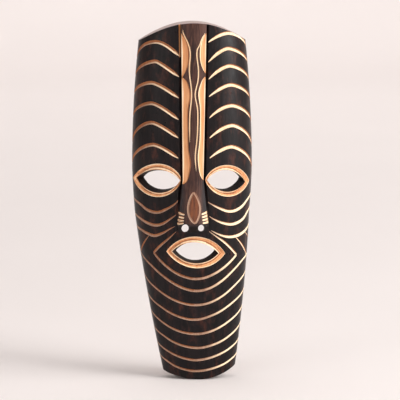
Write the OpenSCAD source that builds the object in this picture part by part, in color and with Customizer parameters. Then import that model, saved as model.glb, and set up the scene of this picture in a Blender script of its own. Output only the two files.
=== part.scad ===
// Carved wooden face mask that hangs on a wall.
// The body is one block of wood, hollowed from behind: a tall barrel of half-oval section,
// widest at the brow, with a raised ridge that runs down the forehead into the nose. Two eyes
// and a mouth are lens-shaped cuts, and two nostrils are drilled under the nose. A wire ring
// on a screwed saddle lies in a pocket behind the crown.
// Frame: the face looks towards -Y, +Z is up and the back rim lies in the plane y = 0. The
// origin is the centre of the wall hook that carries the raised ring, on the wall's face.
// Heights are measured from the lowest point of the chin, and at_hook() lowers each piece.

/* [Block] */
// Height from chin to crown
mask_h = 500; // [410:5:600]
// Width at the widest level
mask_w = 167; // [140:1:200]
// Depth of the face in front of the wall at the widest level, without ridge and nose
face_d = 56; // [46:1:68]
// Height of the widest level
wide_h = 299; // [270:1:330]
// Width between the crown's corners
crown_w = 148; // [120:1:155]
// Width between the chin's corners
chin_w = 102; // [84:1:124]
// How far the crown's corners lie below its middle
crown_rise = 26; // [10:1:36]
// How far the chin's left corner lies above its middle
chin_rise_left = 9.5; // [2:0.5:20]
// How far the chin's right corner lies above its middle
chin_rise_right = 16.5; // [2:0.5:20]
// Sideways drift of the chin, a mark of hand carving
chin_shift = 9.8; // [0:0.2:14]
// Height at which the drift of the chin begins
shift_h = 235; // [200:1:260]
// Straight edge of the sides, square to the wall
edge_d = 4; // [2:0.5:8]

/* [Hollow] */
// Thickness of the wood around the hollow
wall = 10.5; // [8:0.5:13]
// Solid wood at the chin, below the hollow
chin_land = 22; // [15:1:40]
// Solid wood between the hollow and the hanger pocket
pocket_land = 10; // [8:1:20]

/* [Ridge and nose] */
// Width of the ridge at the crown
ridge_w = 34.6; // [26:0.2:40]
// Width of the ridge at the brow, where the nose begins
brow_w = 28.4; // [22:0.2:34]
// Width across the wings of the nose
nose_w = 41.4; // [32:0.2:48]
// Height of the brow
brow_h = 285; // [270:1:300]
// Height of the tip of the nose
tip_h = 224; // [220:1:232]
// Height at which the underside of the nose meets the lip
lip_h = 211; // [206:1:213]
// How far the ridge stands proud of the face
ridge_d = 5.5; // [3:0.5:9]
// How far the tip of the nose stands proud of the face
nose_d = 14; // [9:0.5:20]
// Sideways lean of the nose at its tip
nose_shift = -2; // [-4:0.5:4]
// Width of the groove beside the ridge
groove_w = 2.8; // [2:0.2:4]
// Depth of the groove beside the ridge
groove_d = 2.5; // [1:0.25:4]

/* [Eyes, mouth and nostrils] */
// Distance of the left eye's centre from the middle
eye_left_x = 49; // [40:0.5:50]
// Distance of the right eye's centre from the middle
eye_right_x = 46.5; // [40:0.5:50]
// Height of the eyes
eye_h = 282; // [275:1:295]
// Length of the left eye from tip to tip, along the surface
eye_left_w = 62; // [40:1:63]
// Length of the right eye from tip to tip, along the surface
eye_right_w = 57; // [40:1:60]
// Height of an eye at its middle
eye_open = 27; // [15:1:32]
// Angle that an eye's cut turns away from the front
eye_turn = 27; // [15:1:33]
// Angle that an eye's cut drops towards the front
eye_drop = 6; // [0:1:10]
// Sideways place of the mouth
mouth_x = 2.5; // [-4:0.5:6]
// Height of the mouth
mouth_h = 182.5; // [160:0.5:188]
// Length of the mouth from tip to tip
mouth_w = 54; // [35:1:62]
// Height of the mouth at its middle
mouth_open = 27; // [12:1:32]
// Angle that the mouth's cut drops towards the front
mouth_drop = 8; // [0:1:12]
// Diameter of the left nostril
nostril_left_d = 10.6; // [5:0.2:12]
// Diameter of the right nostril
nostril_right_d = 9.2; // [5:0.2:12]
// Angle by which the nostrils rise towards the front
nostril_rise = 8; // [0:1:15]
// Distance between the nostrils' centres
nostril_gap = 22; // [16:0.5:26]
// Height of the nostrils
nostril_h = 217.5; // [214:0.5:220]

/* [Hanger] */
// Distance of the ring's hinge below the crown
hanger_drop = 45; // [42:1:60]
// Diameter of the ring's wire
ring_wire = 3; // [2.5:0.1:4]
// Width inside the ring
ring_w = 18; // [17:0.5:24]
// Reach inside the ring, from its hinge to its crown
ring_reach = 18; // [17.5:0.5:26]
// Radius of the ring's corner bends at the wire's centre
ring_bend = 3; // [2.5:0.1:3.5]
// Thickness of the saddle's strip
strip_t = 1.2; // [0.8:0.1:2]
// Width of the saddle's strip
strip_w = 11; // [9:0.5:12]
// Diameter of the screws
screw_d = 3.5; // [3:0.1:4]
// Length of the screws below the head
screw_l = 16; // [12:1:20]
// Diameter of the screws' heads
head_d = 6.2; // [5.5:0.1:7]
// Height of the screws' heads
head_t = 2; // [1.5:0.1:2.4]
// Diameter of the wall hook that the raised ring bears on
hook_d = 4; // [2:0.5:5]

/* [Clearances] */
// Radial play of the ring's bar in the saddle
hinge_play = 0.06; // [0.02:0.01:0.1]
// Gap between the ring's bar and the pocket's floor
bar_gap = 0.4; // [0.3:0.1:0.8]
// Radial play of a screw in the saddle
screw_play = 0.3; // [0.2:0.05:0.5]
// Radial bite of a screw in its pilot hole
screw_bite = 0.1; // [0.05:0.05:0.2]
// Room around the ring for a fingertip
finger_gap = 4.5; // [3:0.5:6]
// Depth left over the saddle for the head of the wall hook
hook_room = 3.4; // [2:0.2:6]
// Gap that the wood's finish leaves under the saddle
seat_gap = 0.05; // [0.02:0.01:0.1]

/* [Hidden] */

$fn = 48;
cut = 1;

// Levels of the face: rows below the lip, up the underside of the nose and above its tip
lip_rows = 30;
nose_rows = 3;
face_rows = 40;
// Columns of the face on each side of the ridge
panel_cols = 10;
// Half section of the ridge: share of its half-width, share of its height
ridge_section = [[0, 1], [0.35, 0.96], [0.7, 0.84], [1, 0.6]];
// Place of the groove's bottom, as a share of its width
groove_mid = 0.3;
groove_col = len(ridge_section);
panel_col = groove_col + 1;
side_cols = panel_col + panel_cols;
// Shape of the cheeks' curve from the widest level down to the chin
cheek_curve = 1.5;
// Shape and grain of the hollow
hollow_rows = 30;
hollow_cols = 18;
hollow_end = 86;
hollow_curve = 3;
back_over = 6;

crown_corner_h = mask_h - crown_rise;
chin_corner_h = (chin_rise_left + chin_rise_right) / 2;

// Hanger, from the pocket's floor outwards
hinge_h = mask_h - hanger_drop;
bar_y = bar_gap + ring_wire / 2;
saddle_bore = ring_wire / 2 + hinge_play;
saddle_out = saddle_bore + strip_t;
saddle_top = bar_y + saddle_out;
head_land = 0.8;
wing_land = 1.3;
screw_off = saddle_out + head_land + head_d / 2;
wing_end = screw_off + head_d / 2 + wing_land;
ring_r = (ring_w + ring_wire) / 2;
ring_arc = ring_reach + ring_wire / 2 - ring_r;
pocket_d = seat_gap + saddle_top + hook_room;
pocket_w = ring_w + 2 * (ring_wire + finger_gap);
pocket_h = 2 * (ring_reach + ring_wire + finger_gap);
pocket_r = 6;
pilot_over = 1;
tip_l = 3;
hook_h = hinge_h + ring_reach - hook_d / 2;

// Hollow, from the chin's land to the land below the pocket
hollow_top_h = hinge_h - pocket_h / 2 - pocket_land;
hollow_mid_h = (hollow_top_h + chin_land) / 2;
hollow_half = (hollow_top_h - chin_land) / 2;

function mix(a, b, t) = a + (b - a) * t;

// Share of the way from a to b, kept between 0 and 1
function part_way(h, a, b) = min(1, max(0, (h - a) / (b - a)));

// Half the width of the block at a height
function half_w(h) = h > wide_h
    ? mask_w / 2 - (mask_w - crown_w) / 2 * pow((h - wide_h) / (crown_corner_h - wide_h), 2)
    : mask_w / 2 - (mask_w - chin_w) / 2
        * pow((wide_h - h) / (wide_h - chin_corner_h), cheek_curve);

// Sideways place of the block's middle at a height
function middle_x(h) = chin_shift * max(0, 1 - h / shift_h);

// Depth of the face at a height, which follows the width
function depth(h) = face_d * half_w(h) / (mask_w / 2);

// Half-oval face, off to the side of the middle
function face_y(off, h) =
    -edge_d - (depth(h) - edge_d) * sqrt(max(0, 1 - pow(off / half_w(h), 2)));

// Ends of the face, for a share u of the half-width
function crown_edge(u) = mask_h - crown_rise * u * u;
function chin_edge(u) = (u < 0 ? chin_rise_left : chin_rise_right) * u * u;

// Half the width of the ridge and nose
function ridge_half(h) = h > brow_h
    ? mix(brow_w, ridge_w, part_way(h, brow_h, mask_h)) / 2
    : mix(nose_w, brow_w, part_way(h, tip_h, brow_h)) / 2;

// Height of the ridge and nose above the face
function ridge_rise(h) = h > tip_h
    ? mix(nose_d, ridge_d, part_way(h, tip_h, brow_h))
    : nose_d * part_way(h, lip_h, tip_h);

// Depth of the groove, which runs out along the nose
function groove(h) = groove_d * part_way(h, tip_h, brow_h);

function ridge_x(h) = nose_shift * (1 - part_way(h, tip_h, mask_h));

// Distance of a column from the middle at a height; columns count outwards from the ridge
function column_off(col, h) =
    let (side = sign(col), n = abs(col), edge = side * ridge_x(h) + ridge_half(h))
    n < groove_col ? ridge_x(h) + side * ridge_section[n][0] * ridge_half(h)
    : n == groove_col ? side * (edge + groove_mid * groove_w)
    : let (start = asin((edge + groove_w) / half_w(h)))
        side * half_w(h) * sin(mix(start, 90, (n - panel_col) / panel_cols));

// Rise of the surface over the plain face at a column
function column_rise(col, h) =
    let (n = abs(col))
    n < groove_col ? ridge_section[n][1] * ridge_rise(h)
    : n == groove_col ? -groove(h)
    : 0;

// Point of the face for a share t of the height and a column
function face_point(t, col) =
    let (
        level = t * mask_h,
        off = column_off(col, level),
        u = off / half_w(level),
        h = mix(chin_edge(u), crown_edge(u), t),
        out = abs(col) < panel_col ? off : u * half_w(h)
    )
    [middle_x(h) + out, face_y(out, h) - column_rise(col, level), h];

face_levels = concat(
    [for (i = [0 : lip_rows]) i / lip_rows * lip_h],
    [for (i = [1 : nose_rows]) mix(lip_h, tip_h, i / nose_rows)],
    [for (i = [1 : face_rows]) mix(tip_h, mask_h, i / face_rows)]
);

// Point of the hollow on a ring that stands at a height share s, from -1 to 1
function hollow_point(s, angle) =
    let (
        h = hollow_mid_h + hollow_half * s,
        size = sqrt(1 - pow(abs(s), hollow_curve)),
        across = (half_w(h) - wall) * size,
        deep = (depth(h) - wall) * size
    )
    [middle_x(h) + across * sin(angle), -deep * cos(angle), h];

// A point of the hollow's ring moved out past the back rim
function behind(p) = [p[0], back_over, p[2]];

// Lowers a piece from heights above the chin to the frame of the wall hook
module at_hook() {
    translate([0, 0, -hook_h])
        children();
}

// Outer shape: the face, its edges and a flat back
module block() {
    cols = 2 * side_cols + 1;
    rows = len(face_levels);
    face = [for (h = face_levels, c = [-side_cols : side_cols]) face_point(h / mask_h, c)];
    rim = concat(
        [for (c = [0 : cols - 1]) c],
        [for (r = [1 : rows - 1]) r * cols + cols - 1],
        [for (c = [cols - 2 : -1 : 0]) (rows - 1) * cols + c],
        [for (r = [rows - 2 : -1 : 1]) r * cols]
    );
    back = [for (k = rim) [face[k][0], 0, face[k][2]]];
    first = len(face);
    n = len(rim);
    front_faces = [
        for (r = [0 : rows - 2], c = [0 : cols - 2], half = [0, 1])
            let (k = r * cols + c)
            half == 0 ? [k, k + cols, k + 1] : [k + 1, k + cols, k + cols + 1]
    ];
    edge_faces = [
        for (k = [0 : n - 1], half = [0, 1])
            let (m = (k + 1) % n)
            half == 0 ? [rim[k], rim[m], first + m] : [rim[k], first + m, first + k]
    ];
    back_face = [[for (k = [0 : n - 1]) first + k]];
    polyhedron(concat(face, back), concat(front_faces, edge_faces, back_face), convexity = 8);
}

// Space that is carved out from behind
module hollow() {
    ring = hollow_cols + 3;
    points = [
        for (r = [0 : hollow_rows])
            let (s = sin(mix(-hollow_end, hollow_end, r / hollow_rows)))
            for (k = [-1 : hollow_cols + 1])
                let (angle = mix(-90, 90, part_way(k, 0, hollow_cols)))
                let (p = hollow_point(s, angle))
                k < 0 || k > hollow_cols ? behind(p) : p
    ];
    sides = [
        for (r = [0 : hollow_rows - 1], k = [0 : ring - 1], half = [0, 1])
            let (a = r * ring + k, b = r * ring + (k + 1) % ring)
            half == 0 ? [a, a + ring, b] : [b, a + ring, b + ring]
    ];
    foot = [[for (k = [0 : ring - 1]) k]];
    top = [[for (k = [ring - 1 : -1 : 0]) hollow_rows * ring + k]];
    polyhedron(points, concat(sides, foot, top), convexity = 6);
}

// Lens-shaped prism along Y, where two round cylinders overlap
module lens(width, height, length) {
    radius = (width * width + height * height) / (4 * height);
    intersection() {
        translate([0, 0, height / 2 - radius])
            rotate([90, 0, 0])
                cylinder(r = radius, h = length, center = true, $fn = 96);
        translate([0, 0, radius - height / 2])
            rotate([90, 0, 0])
                cylinder(r = radius, h = length, center = true, $fn = 96);
    }
}

// Cut through the wall at one place of the face, turned sideways and dropped towards the front
module face_cut(x, h, width, height, turn, drop) {
    reach = 3 * wall;
    translate([x, face_y(x - middle_x(h), h), h])
        rotate([0, 0, turn])
            rotate([drop, 0, 0])
                lens(width, height, 2 * reach);
}

module openings() {
    face_cut(-eye_left_x, eye_h, eye_left_w, eye_open, -eye_turn, eye_drop);
    face_cut(eye_right_x, eye_h, eye_right_w, eye_open, eye_turn, eye_drop);
    face_cut(mouth_x, mouth_h, mouth_w, mouth_open, 0, mouth_drop);
    for (side = [-1, 1])
        translate([ridge_x(nostril_h) + side * nostril_gap / 2, face_y(0, nostril_h), nostril_h])
            rotate([90 - nostril_rise, 0, 0])
                cylinder(d = side < 0 ? nostril_left_d : nostril_right_d, h = 6 * wall, center = true);
}

// Pocket for the hanger, with round corners, and its pilot holes
module hanger_pocket() {
    translate([0, cut, hinge_h])
        rotate([90, 0, 0]) {
            for (x = [-1, 1], z = [-1, 1])
                translate([x * (pocket_w / 2 - pocket_r), z * (pocket_h / 2 - pocket_r), 0])
                    cylinder(r = pocket_r, h = pocket_d + cut);
            translate([pocket_r - pocket_w / 2, -pocket_h / 2, 0])
                cube([pocket_w - 2 * pocket_r, pocket_h, pocket_d + cut]);
            translate([-pocket_w / 2, pocket_r - pocket_h / 2, 0])
                cube([pocket_w, pocket_h - 2 * pocket_r, pocket_d + cut]);
        }
    for (side = [-1, 1])
        translate([0, -pocket_d + cut, hinge_h + side * screw_off])
            rotate([90, 0, 0])
                cylinder(d = screw_d - 2 * screw_bite, h = screw_l - strip_t + pilot_over + cut);
}

module mask_body() {
    color([0.16, 0.14, 0.15])
        at_hook()
            difference() {
                block();
                hollow();
                openings();
                hanger_pocket();
            }
}

// Side view of the saddle: a strip bent over the ring's bar, with a wing above and below
module saddle_section() {
    difference() {
        union() {
            translate([-wing_end, 0])
                square([2 * wing_end, strip_t]);
            translate([-saddle_out, 0])
                square([2 * saddle_out, bar_y]);
            intersection() {
                translate([0, bar_y])
                    circle(r = saddle_out);
                translate([-saddle_out, 0])
                    square([2 * saddle_out, saddle_top]);
            }
        }
        translate([0, bar_y])
            circle(r = saddle_bore);
        translate([-saddle_bore, -cut])
            square([2 * saddle_bore, bar_y + cut]);
    }
}

// Frame on the pocket's floor at the hinge: +Z of the children points out of the pocket
module on_floor() {
    at_hook()
        translate([0, seat_gap - pocket_d, hinge_h])
            rotate([-90, 0, 0])
                children();
}

module hanger_saddle() {
    color([0.72, 0.70, 0.66])
        on_floor()
            difference() {
                rotate([90, 0, 90])
                    linear_extrude(height = strip_w, center = true)
                        saddle_section();
                for (side = [-1, 1])
                    translate([0, side * screw_off, -cut])
                        cylinder(d = screw_d + 2 * screw_play, h = strip_t + 2 * cut);
            }
}

// Quarter bend of the wire, from +X round to +Y
module wire_bend() {
    rotate_extrude(angle = 90)
        translate([ring_bend, 0])
            circle(d = ring_wire);
}

// D-shaped ring that hangs from its straight bar
module hanger_ring() {
    bar_half = ring_r - ring_bend;
    color([0.78, 0.76, 0.72])
        on_floor()
            translate([0, 0, bar_y])
                union() {
                    translate([-bar_half, 0, 0])
                        rotate([0, 90, 0])
                            cylinder(d = ring_wire, h = 2 * bar_half);
                    translate([bar_half, ring_bend, 0])
                        rotate([0, 0, -90])
                            wire_bend();
                    translate([-bar_half, ring_bend, 0])
                        rotate([0, 0, 180])
                            wire_bend();
                    for (side = [-1, 1])
                        translate([side * ring_r, ring_bend, 0])
                            rotate([-90, 0, 0])
                                cylinder(d = ring_wire, h = ring_arc - ring_bend);
                    translate([0, ring_arc, 0])
                        rotate_extrude(angle = 180)
                            translate([ring_r, 0])
                                circle(d = ring_wire);
                }
}

// Pan-headed wood screw with a cross recess, pointing down from the saddle's strip
module screw(side) {
    slot_w = 0.9;
    slot_l = head_d * 0.6;
    slot_t = head_t * 0.6;
    rim_t = head_t * 0.45;
    crown_r = head_d * 0.3;
    color([0.80, 0.74, 0.58])
        on_floor()
            translate([0, side * screw_off, strip_t])
                difference() {
                    rotate_extrude()
                        polygon([
                            [0, -screw_l], [screw_d / 2, tip_l - screw_l], [screw_d / 2, 0],
                            [head_d / 2, 0], [head_d / 2, rim_t], [crown_r, head_t], [0, head_t]
                        ]);
                    for (turn = [0, 90])
                        rotate([0, 0, turn])
                            translate([-slot_l / 2, -slot_w / 2, head_t - slot_t])
                                cube([slot_l, slot_w, slot_t + cut]);
                }
}

module screw_upper() {
    screw(-1);
}

module screw_lower() {
    screw(1);
}

mask_body();
hanger_saddle();
hanger_ring();
screw_upper();
screw_lower();
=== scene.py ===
"""A carved wooden wall mask on its hanging ring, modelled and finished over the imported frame."""
import logging
import math
from collections.abc import Callable, Sequence
from dataclasses import dataclass, field
from enum import Enum, IntEnum

import bmesh
import bpy
from mathutils import Matrix, Vector


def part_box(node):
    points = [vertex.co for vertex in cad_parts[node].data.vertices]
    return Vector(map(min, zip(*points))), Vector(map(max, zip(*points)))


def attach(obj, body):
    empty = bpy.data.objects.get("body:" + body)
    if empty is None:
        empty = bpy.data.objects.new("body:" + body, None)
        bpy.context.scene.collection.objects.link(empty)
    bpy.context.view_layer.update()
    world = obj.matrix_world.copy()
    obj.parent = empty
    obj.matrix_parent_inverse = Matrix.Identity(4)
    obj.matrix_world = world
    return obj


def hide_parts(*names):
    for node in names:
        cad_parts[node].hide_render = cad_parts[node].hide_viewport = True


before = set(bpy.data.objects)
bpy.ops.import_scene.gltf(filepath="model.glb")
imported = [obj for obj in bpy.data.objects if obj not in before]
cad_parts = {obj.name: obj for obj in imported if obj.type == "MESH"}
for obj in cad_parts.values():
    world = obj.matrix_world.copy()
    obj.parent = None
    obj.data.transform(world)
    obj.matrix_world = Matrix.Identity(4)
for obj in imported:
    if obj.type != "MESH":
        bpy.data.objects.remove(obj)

log = logging.getLogger("mask")

MM = 0.001
BLOCK_NODE = "mask_body"
MASK_BODY = "mask"
RING_BODY = "ring"
# A limit beyond either side of the block, for a rule that holds all along a line or nowhere on it.
PAST_SIDE = 200.0
FLOOR_GAP = 0.0002
AIM_Y = -0.025

Station = tuple[float, float]
Spot = tuple[Vector, Vector]
Colour = tuple[float, float, float]


class Cut(IntEnum):
    """Finishes on the wooden block, in the order of its material slots."""

    STAIN = 0
    RIDGE = 1
    BARE = 2
    BACK = 3
    # Painted reflection on the crown's end face.
    CROWN_REFLECTION = 4
    # Dark wood in the holes, partly stain and partly painted shade.
    BORE_SHADE = 5
    # Pale cut wood made paler as a painted highlight.
    PALE_WOOD_HIGHLIGHT = 6
    # Painted shade on cut wood.
    PAINTED_SHADE = 7
    HOLLOW = 8
    # Duller cut wood, partly painted shade, turning to a painted highlight towards the right.
    LINE_SHADE_TO_HIGHLIGHT = 9


class Side(IntEnum):
    """The mask's two sides, as the sign of X."""

    LEFT = -1
    RIGHT = 1


class End(Enum):
    """How a gouge line ends."""

    BLUNT = "blunt"
    FINE = "fine"
    OPEN = "open"


def mix(a: float, b: float, t: float) -> float:
    """Value a share t of the way from a to b."""
    return a + (b - a) * t


def part_way(value: float, low: float, high: float) -> float:
    """Share of the way from low to high, kept between 0 and 1."""
    return min(1.0, max(0.0, (value - low) / (high - low)))


def swell(value: float, centre: float, spread: float) -> float:
    """Smooth swelling that is 1 at its centre and dies out either side."""
    return math.exp(-(((value - centre) / spread) ** 2))


@dataclass(frozen=True)
class Face:
    """Shape of the face in millimetres, with heights measured up from the chin.

    The numbers are the driving sizes of the CAD block, so both models share one surface.
    """

    height: float = 500.0
    width: float = 167.0
    deep: float = 56.0
    wide_at: float = 299.0
    crown_width: float = 148.0
    chin_width: float = 102.0
    crown_drop: float = 26.0
    chin_rise_left: float = 9.5
    chin_rise_right: float = 16.5
    chin_shift: float = 9.8
    shift_end: float = 235.0
    rim: float = 4.0
    cheek_curve: float = 1.5
    crown_ridge: float = 34.6
    brow_ridge: float = 28.4
    nose_width: float = 41.4
    brow_at: float = 285.0
    tip_at: float = 224.0
    lip_at: float = 211.0
    ridge_rise_top: float = 5.5
    nose_rise: float = 14.0
    nose_shift: float = -2.0
    groove_width: float = 3.2
    groove_deep: float = 2.5
    groove_mid: float = 0.3
    section_drop: float = 0.4
    section_curve: float = 2.4

    def half_width(self, h: float) -> float:
        """Half the width of the block.

        Args:
            h: Height above the chin.

        Returns:
            The half-width.
        """
        if h > self.wide_at:
            share = (h - self.wide_at) / (self.height - self.crown_drop - self.wide_at)
            return self.width / 2 - (self.width - self.crown_width) / 2 * share**2
        corner = (self.chin_rise_left + self.chin_rise_right) / 2
        share = (self.wide_at - h) / (self.wide_at - corner)
        return self.width / 2 - (self.width - self.chin_width) / 2 * share**self.cheek_curve

    def middle(self, h: float) -> float:
        """Sideways place of the block's middle at height h."""
        return self.chin_shift * max(0.0, 1 - h / self.shift_end)

    def depth(self, h: float) -> float:
        """Depth of the face at height h, which follows the width."""
        return self.deep * self.half_width(h) / (self.width / 2)

    def front(self, off: float, h: float) -> float:
        """Y of the plain face, off to the side of the middle."""
        share = min(1.0, abs(off) / self.half_width(h))
        return -self.rim - (self.depth(h) - self.rim) * math.sqrt(1 - share * share)

    def crown_edge(self, share: float) -> float:
        """Height of the crown's edge at a share of the half-width."""
        return self.height - self.crown_drop * share * share

    def chin_edge(self, share: float) -> float:
        """Height of the chin's edge at a share of the half-width."""
        rise = self.chin_rise_left if share < 0 else self.chin_rise_right
        return rise * share * share

    def ridge_half(self, h: float) -> float:
        """Half the width of the ridge, or of the nose below the brow.

        Args:
            h: Height above the chin.

        Returns:
            The half-width.
        """
        if h > self.brow_at:
            share = part_way(h, self.brow_at, self.height)
            return mix(self.brow_ridge, self.crown_ridge, share) / 2
        share = part_way(h, self.tip_at, self.brow_at)
        return mix(self.nose_width, self.brow_ridge, share) / 2

    def ridge_rise(self, h: float) -> float:
        """Height of the ridge's middle above the plain face.

        Args:
            h: Height above the chin.

        Returns:
            The rise.
        """
        if h > self.tip_at:
            share = part_way(h, self.tip_at, self.brow_at)
            return mix(self.nose_rise, self.ridge_rise_top, share)
        return self.nose_rise * part_way(h, self.lip_at, self.tip_at)

    def groove(self, h: float) -> float:
        """Depth of the groove beside the ridge, which runs out along the nose."""
        return self.groove_deep * part_way(h, self.tip_at, self.brow_at)

    def ridge_mid(self, h: float) -> float:
        """Sideways place of the ridge's middle, from the block's middle."""
        return self.nose_shift * (1 - part_way(h, self.tip_at, self.height))

    def section(self, share: float) -> float:
        """Share of the ridge's rise that is left at a share of its half-width."""
        return 1 - self.section_drop * min(1.0, abs(share)) ** self.section_curve

    def skin(self, x: float, h: float) -> Vector:
        """Point of the carved face, ridge and nose included.

        Args:
            x: Sideways place.
            h: Height above the chin.

        Returns:
            The point on the wood.
        """
        off = x - self.middle(h)
        share = (off - self.ridge_mid(h)) / self.ridge_half(h)
        rise = self.ridge_rise(h) * self.section(share) if abs(share) < 1 else 0.0
        return Vector((x, self.front(off, h) - rise, h))

    def skin_spot(self, x: float, h: float) -> Spot:
        """Point of the carved face and the way out of the wood there.

        Args:
            x: Sideways place.
            h: Height above the chin.

        Returns:
            The point and a unit vector.
        """
        step = 1.0
        across = self.skin(x + step, h) - self.skin(x - step, h)
        up = self.skin(x, h + step) - self.skin(x, h - step)
        return self.skin(x, h), across.cross(up).normalized()

    def panel(self, turn: float, h: float) -> Vector:
        """Point of the plain face at a turn round it.

        Args:
            turn: Degrees from the middle; past 90 the point runs on to the back.
            h: Height above the chin.

        Returns:
            The point on the wood.
        """
        half = self.half_width(h)
        over = max(0.0, abs(turn) - 90.0)
        off = half * math.sin(math.radians(math.copysign(min(abs(turn), 90.0), turn)))
        back = over * math.radians(half)
        return Vector((self.middle(h) + off, self.front(off, h) + back, h))

    def panel_spot(self, turn: float, h: float) -> Spot:
        """Point of the plain face at a turn, and the way out of the wood there.

        Args:
            turn: Degrees from the middle.
            h: Height above the chin.

        Returns:
            The point and a unit vector.
        """
        step = 0.5
        across = self.panel(turn + step, h) - self.panel(turn - step, h)
        up = self.panel(turn, h + step) - self.panel(turn, h - step)
        return self.panel(turn, h), across.cross(up).normalized()


@dataclass(frozen=True)
class Bloom:
    """One swelling of a ridge line's offset: its size, centre height and spread."""

    size: float
    centre: float
    spread: float

    def at(self, h: float) -> float:
        """Its share of the offset at height h."""
        return self.size * swell(h, self.centre, self.spread)


@dataclass(frozen=True)
class Facet:
    """Hollow facet along a ridge's edge, pointed at both ends."""

    middle: float
    half: float
    width: float
    fullness: float
    blooms: tuple[Bloom, ...] = ()

    def at(self, h: float) -> float:
        """Width of the facet.

        Args:
            h: Height above the chin.

        Returns:
            The width, 0 beyond the facet's ends.
        """
        share = abs(h - self.middle) / self.half
        if share >= 1:
            return 0.0
        extra = sum(bloom.at(h) for bloom in self.blooms)
        return (self.width + extra) * (1 - share**self.fullness)


@dataclass(frozen=True)
class RidgeSide:
    """Facets and the fine line on one side of the ridge."""

    facets: tuple[Facet, ...]
    line_offset: float
    line_blooms: tuple[Bloom, ...]
    line_top: float
    line_foot: float
    line_fade: float
    line_width: float = 1.5
    line_deep: float = 0.9
    facet_deep: float = 1.7
    lip_drop: float = 0.9
    least: float = 0.06
    lead_length: float = 24.0
    lead_curve: float = 0.8
    top_fade: float = 5.0
    least_offset: float = 2.0

    def facet(self, h: float) -> float:
        """Width of whichever facet lies at height h."""
        return max(f.at(h) for f in self.facets)

    def line(self, h: float) -> tuple[float, float]:
        """Course of the fine line.

        Args:
            h: Height above the chin.

        Returns:
            Offset inwards from the ridge's edge, and strength from 0 to 1.
        """
        offset = self.line_offset + sum(bloom.at(h) for bloom in self.line_blooms)
        lead = part_way(self.line_top - h, 0.0, self.lead_length) ** self.lead_curve
        strength = part_way(h, self.line_foot, self.line_foot + self.line_fade)
        strength *= part_way(self.line_top - h, 0.0, self.top_fade)
        return max(offset * lead, self.least_offset), strength


LEFT_RIDGE = RidgeSide(
    facets=(
        Facet(457.0, 30.0, 10.2, 2.5),
        Facet(353.0, 74.0, 7.9, 20.0, (Bloom(3.9, 402.0, 14.0), Bloom(3.5, 308.0, 14.0))),
    ),
    line_offset=9.8,
    line_blooms=(Bloom(2.0, 457.0, 13.0), Bloom(3.3, 404.0, 22.0)),
    line_top=492.0,
    line_foot=334.0,
    line_fade=20.0,
)
RIGHT_RIDGE = RidgeSide(
    facets=(
        Facet(460.0, 28.0, 8.5, 2.5),
        Facet(357.0, 72.0, 6.4, 12.0, (Bloom(3.2, 404.0, 14.0), Bloom(2.2, 317.0, 16.0))),
    ),
    line_offset=9.5,
    line_blooms=(Bloom(3.0, 458.0, 15.0), Bloom(4.3, 403.0, 15.0), Bloom(2.5, 318.0, 20.0)),
    line_top=489.0,
    line_foot=296.0,
    line_fade=14.0,
)


@dataclass(frozen=True)
class Arch:
    """Gouge line that arches over the brow between the ridge and the side."""

    crest_turn: float
    crest: float
    at_side: float
    at_ridge: float
    side_curve: float
    ridge_curve: float
    side_turn: float = 80.0
    ridge_turn: float = 14.0
    start_turn: float = 15.0
    end_turn: float = 94.5
    steps: int = 44

    def stations(self) -> list[Station]:
        """Stations along the line.

        Returns:
            Turns and heights, from the ridge outwards.
        """
        side = math.copysign(1.0, self.crest_turn)
        crest = abs(self.crest_turn)
        found = []
        for i in range(self.steps + 1):
            turn = mix(self.start_turn, self.end_turn, i / self.steps)
            if turn > crest:
                share, power = (turn - crest) / (self.side_turn - crest), self.side_curve
                drop = (self.at_side - self.crest) * share**power
            else:
                share, power = (crest - turn) / (crest - self.ridge_turn), self.ridge_curve
                drop = (self.at_ridge - self.crest) * share**power
            found.append((side * turn, self.crest + drop))
        return found


def through(points: Sequence[Station], steps: int = 8) -> list[Station]:
    """Smooth line through a few stations.

    Args:
        points: Turn and height of each station, in order.
        steps: Steps between two stations.

    Returns:
        The stations of the smooth line.
    """
    first = (2 * points[0][0] - points[1][0], 2 * points[0][1] - points[1][1])
    last = (2 * points[-1][0] - points[-2][0], 2 * points[-1][1] - points[-2][1])
    run = [first, *points, last]
    found: list[Station] = []
    for a, b, c, d in zip(run, run[1:], run[2:], run[3:]):
        for i in range(steps):
            t = i / steps
            found.append(tuple(
                0.5 * (2 * q + (r - p) * t + (2 * p - 5 * q + 4 * r - s) * t * t
                       + (3 * q - p - 3 * r + s) * t**3)
                for p, q, r, s in zip(a, b, c, d)
            ))
    found.append(points[-1])
    return found


ARCHES = (
    Arch(-43.0, 473.8, 458.8, 453.8, 1.9, 1.8),
    Arch(-42.4, 447.3, 432.1, 425.9, 1.5, 1.3),
    Arch(-46.7, 417.7, 405.9, 396.8, 1.5, 1.6),
    Arch(-45.7, 389.6, 375.4, 367.0, 1.5, 1.6),
    Arch(-43.9, 362.9, 342.3, 341.9, 1.6, 1.5),
    Arch(-42.0, 332.7, 312.2, 313.8, 1.5, 1.6),
    Arch(42.0, 485.6, 469.5, 472.1, 1.5, 2.0),
    Arch(40.0, 464.7, 446.8, 445.2, 1.35, 1.8),
    Arch(41.0, 440.8, 422.5, 422.0, 1.35, 1.9),
    Arch(41.0, 414.7, 396.2, 398.4, 1.35, 1.8),
    Arch(41.5, 386.1, 365.4, 368.7, 1.35, 2.2),
    Arch(41.0, 358.7, 333.5, 341.1, 1.35, 2.0),
    Arch(39.3, 329.4, 302.6, 313.6, 1.35, 1.9),
)
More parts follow.
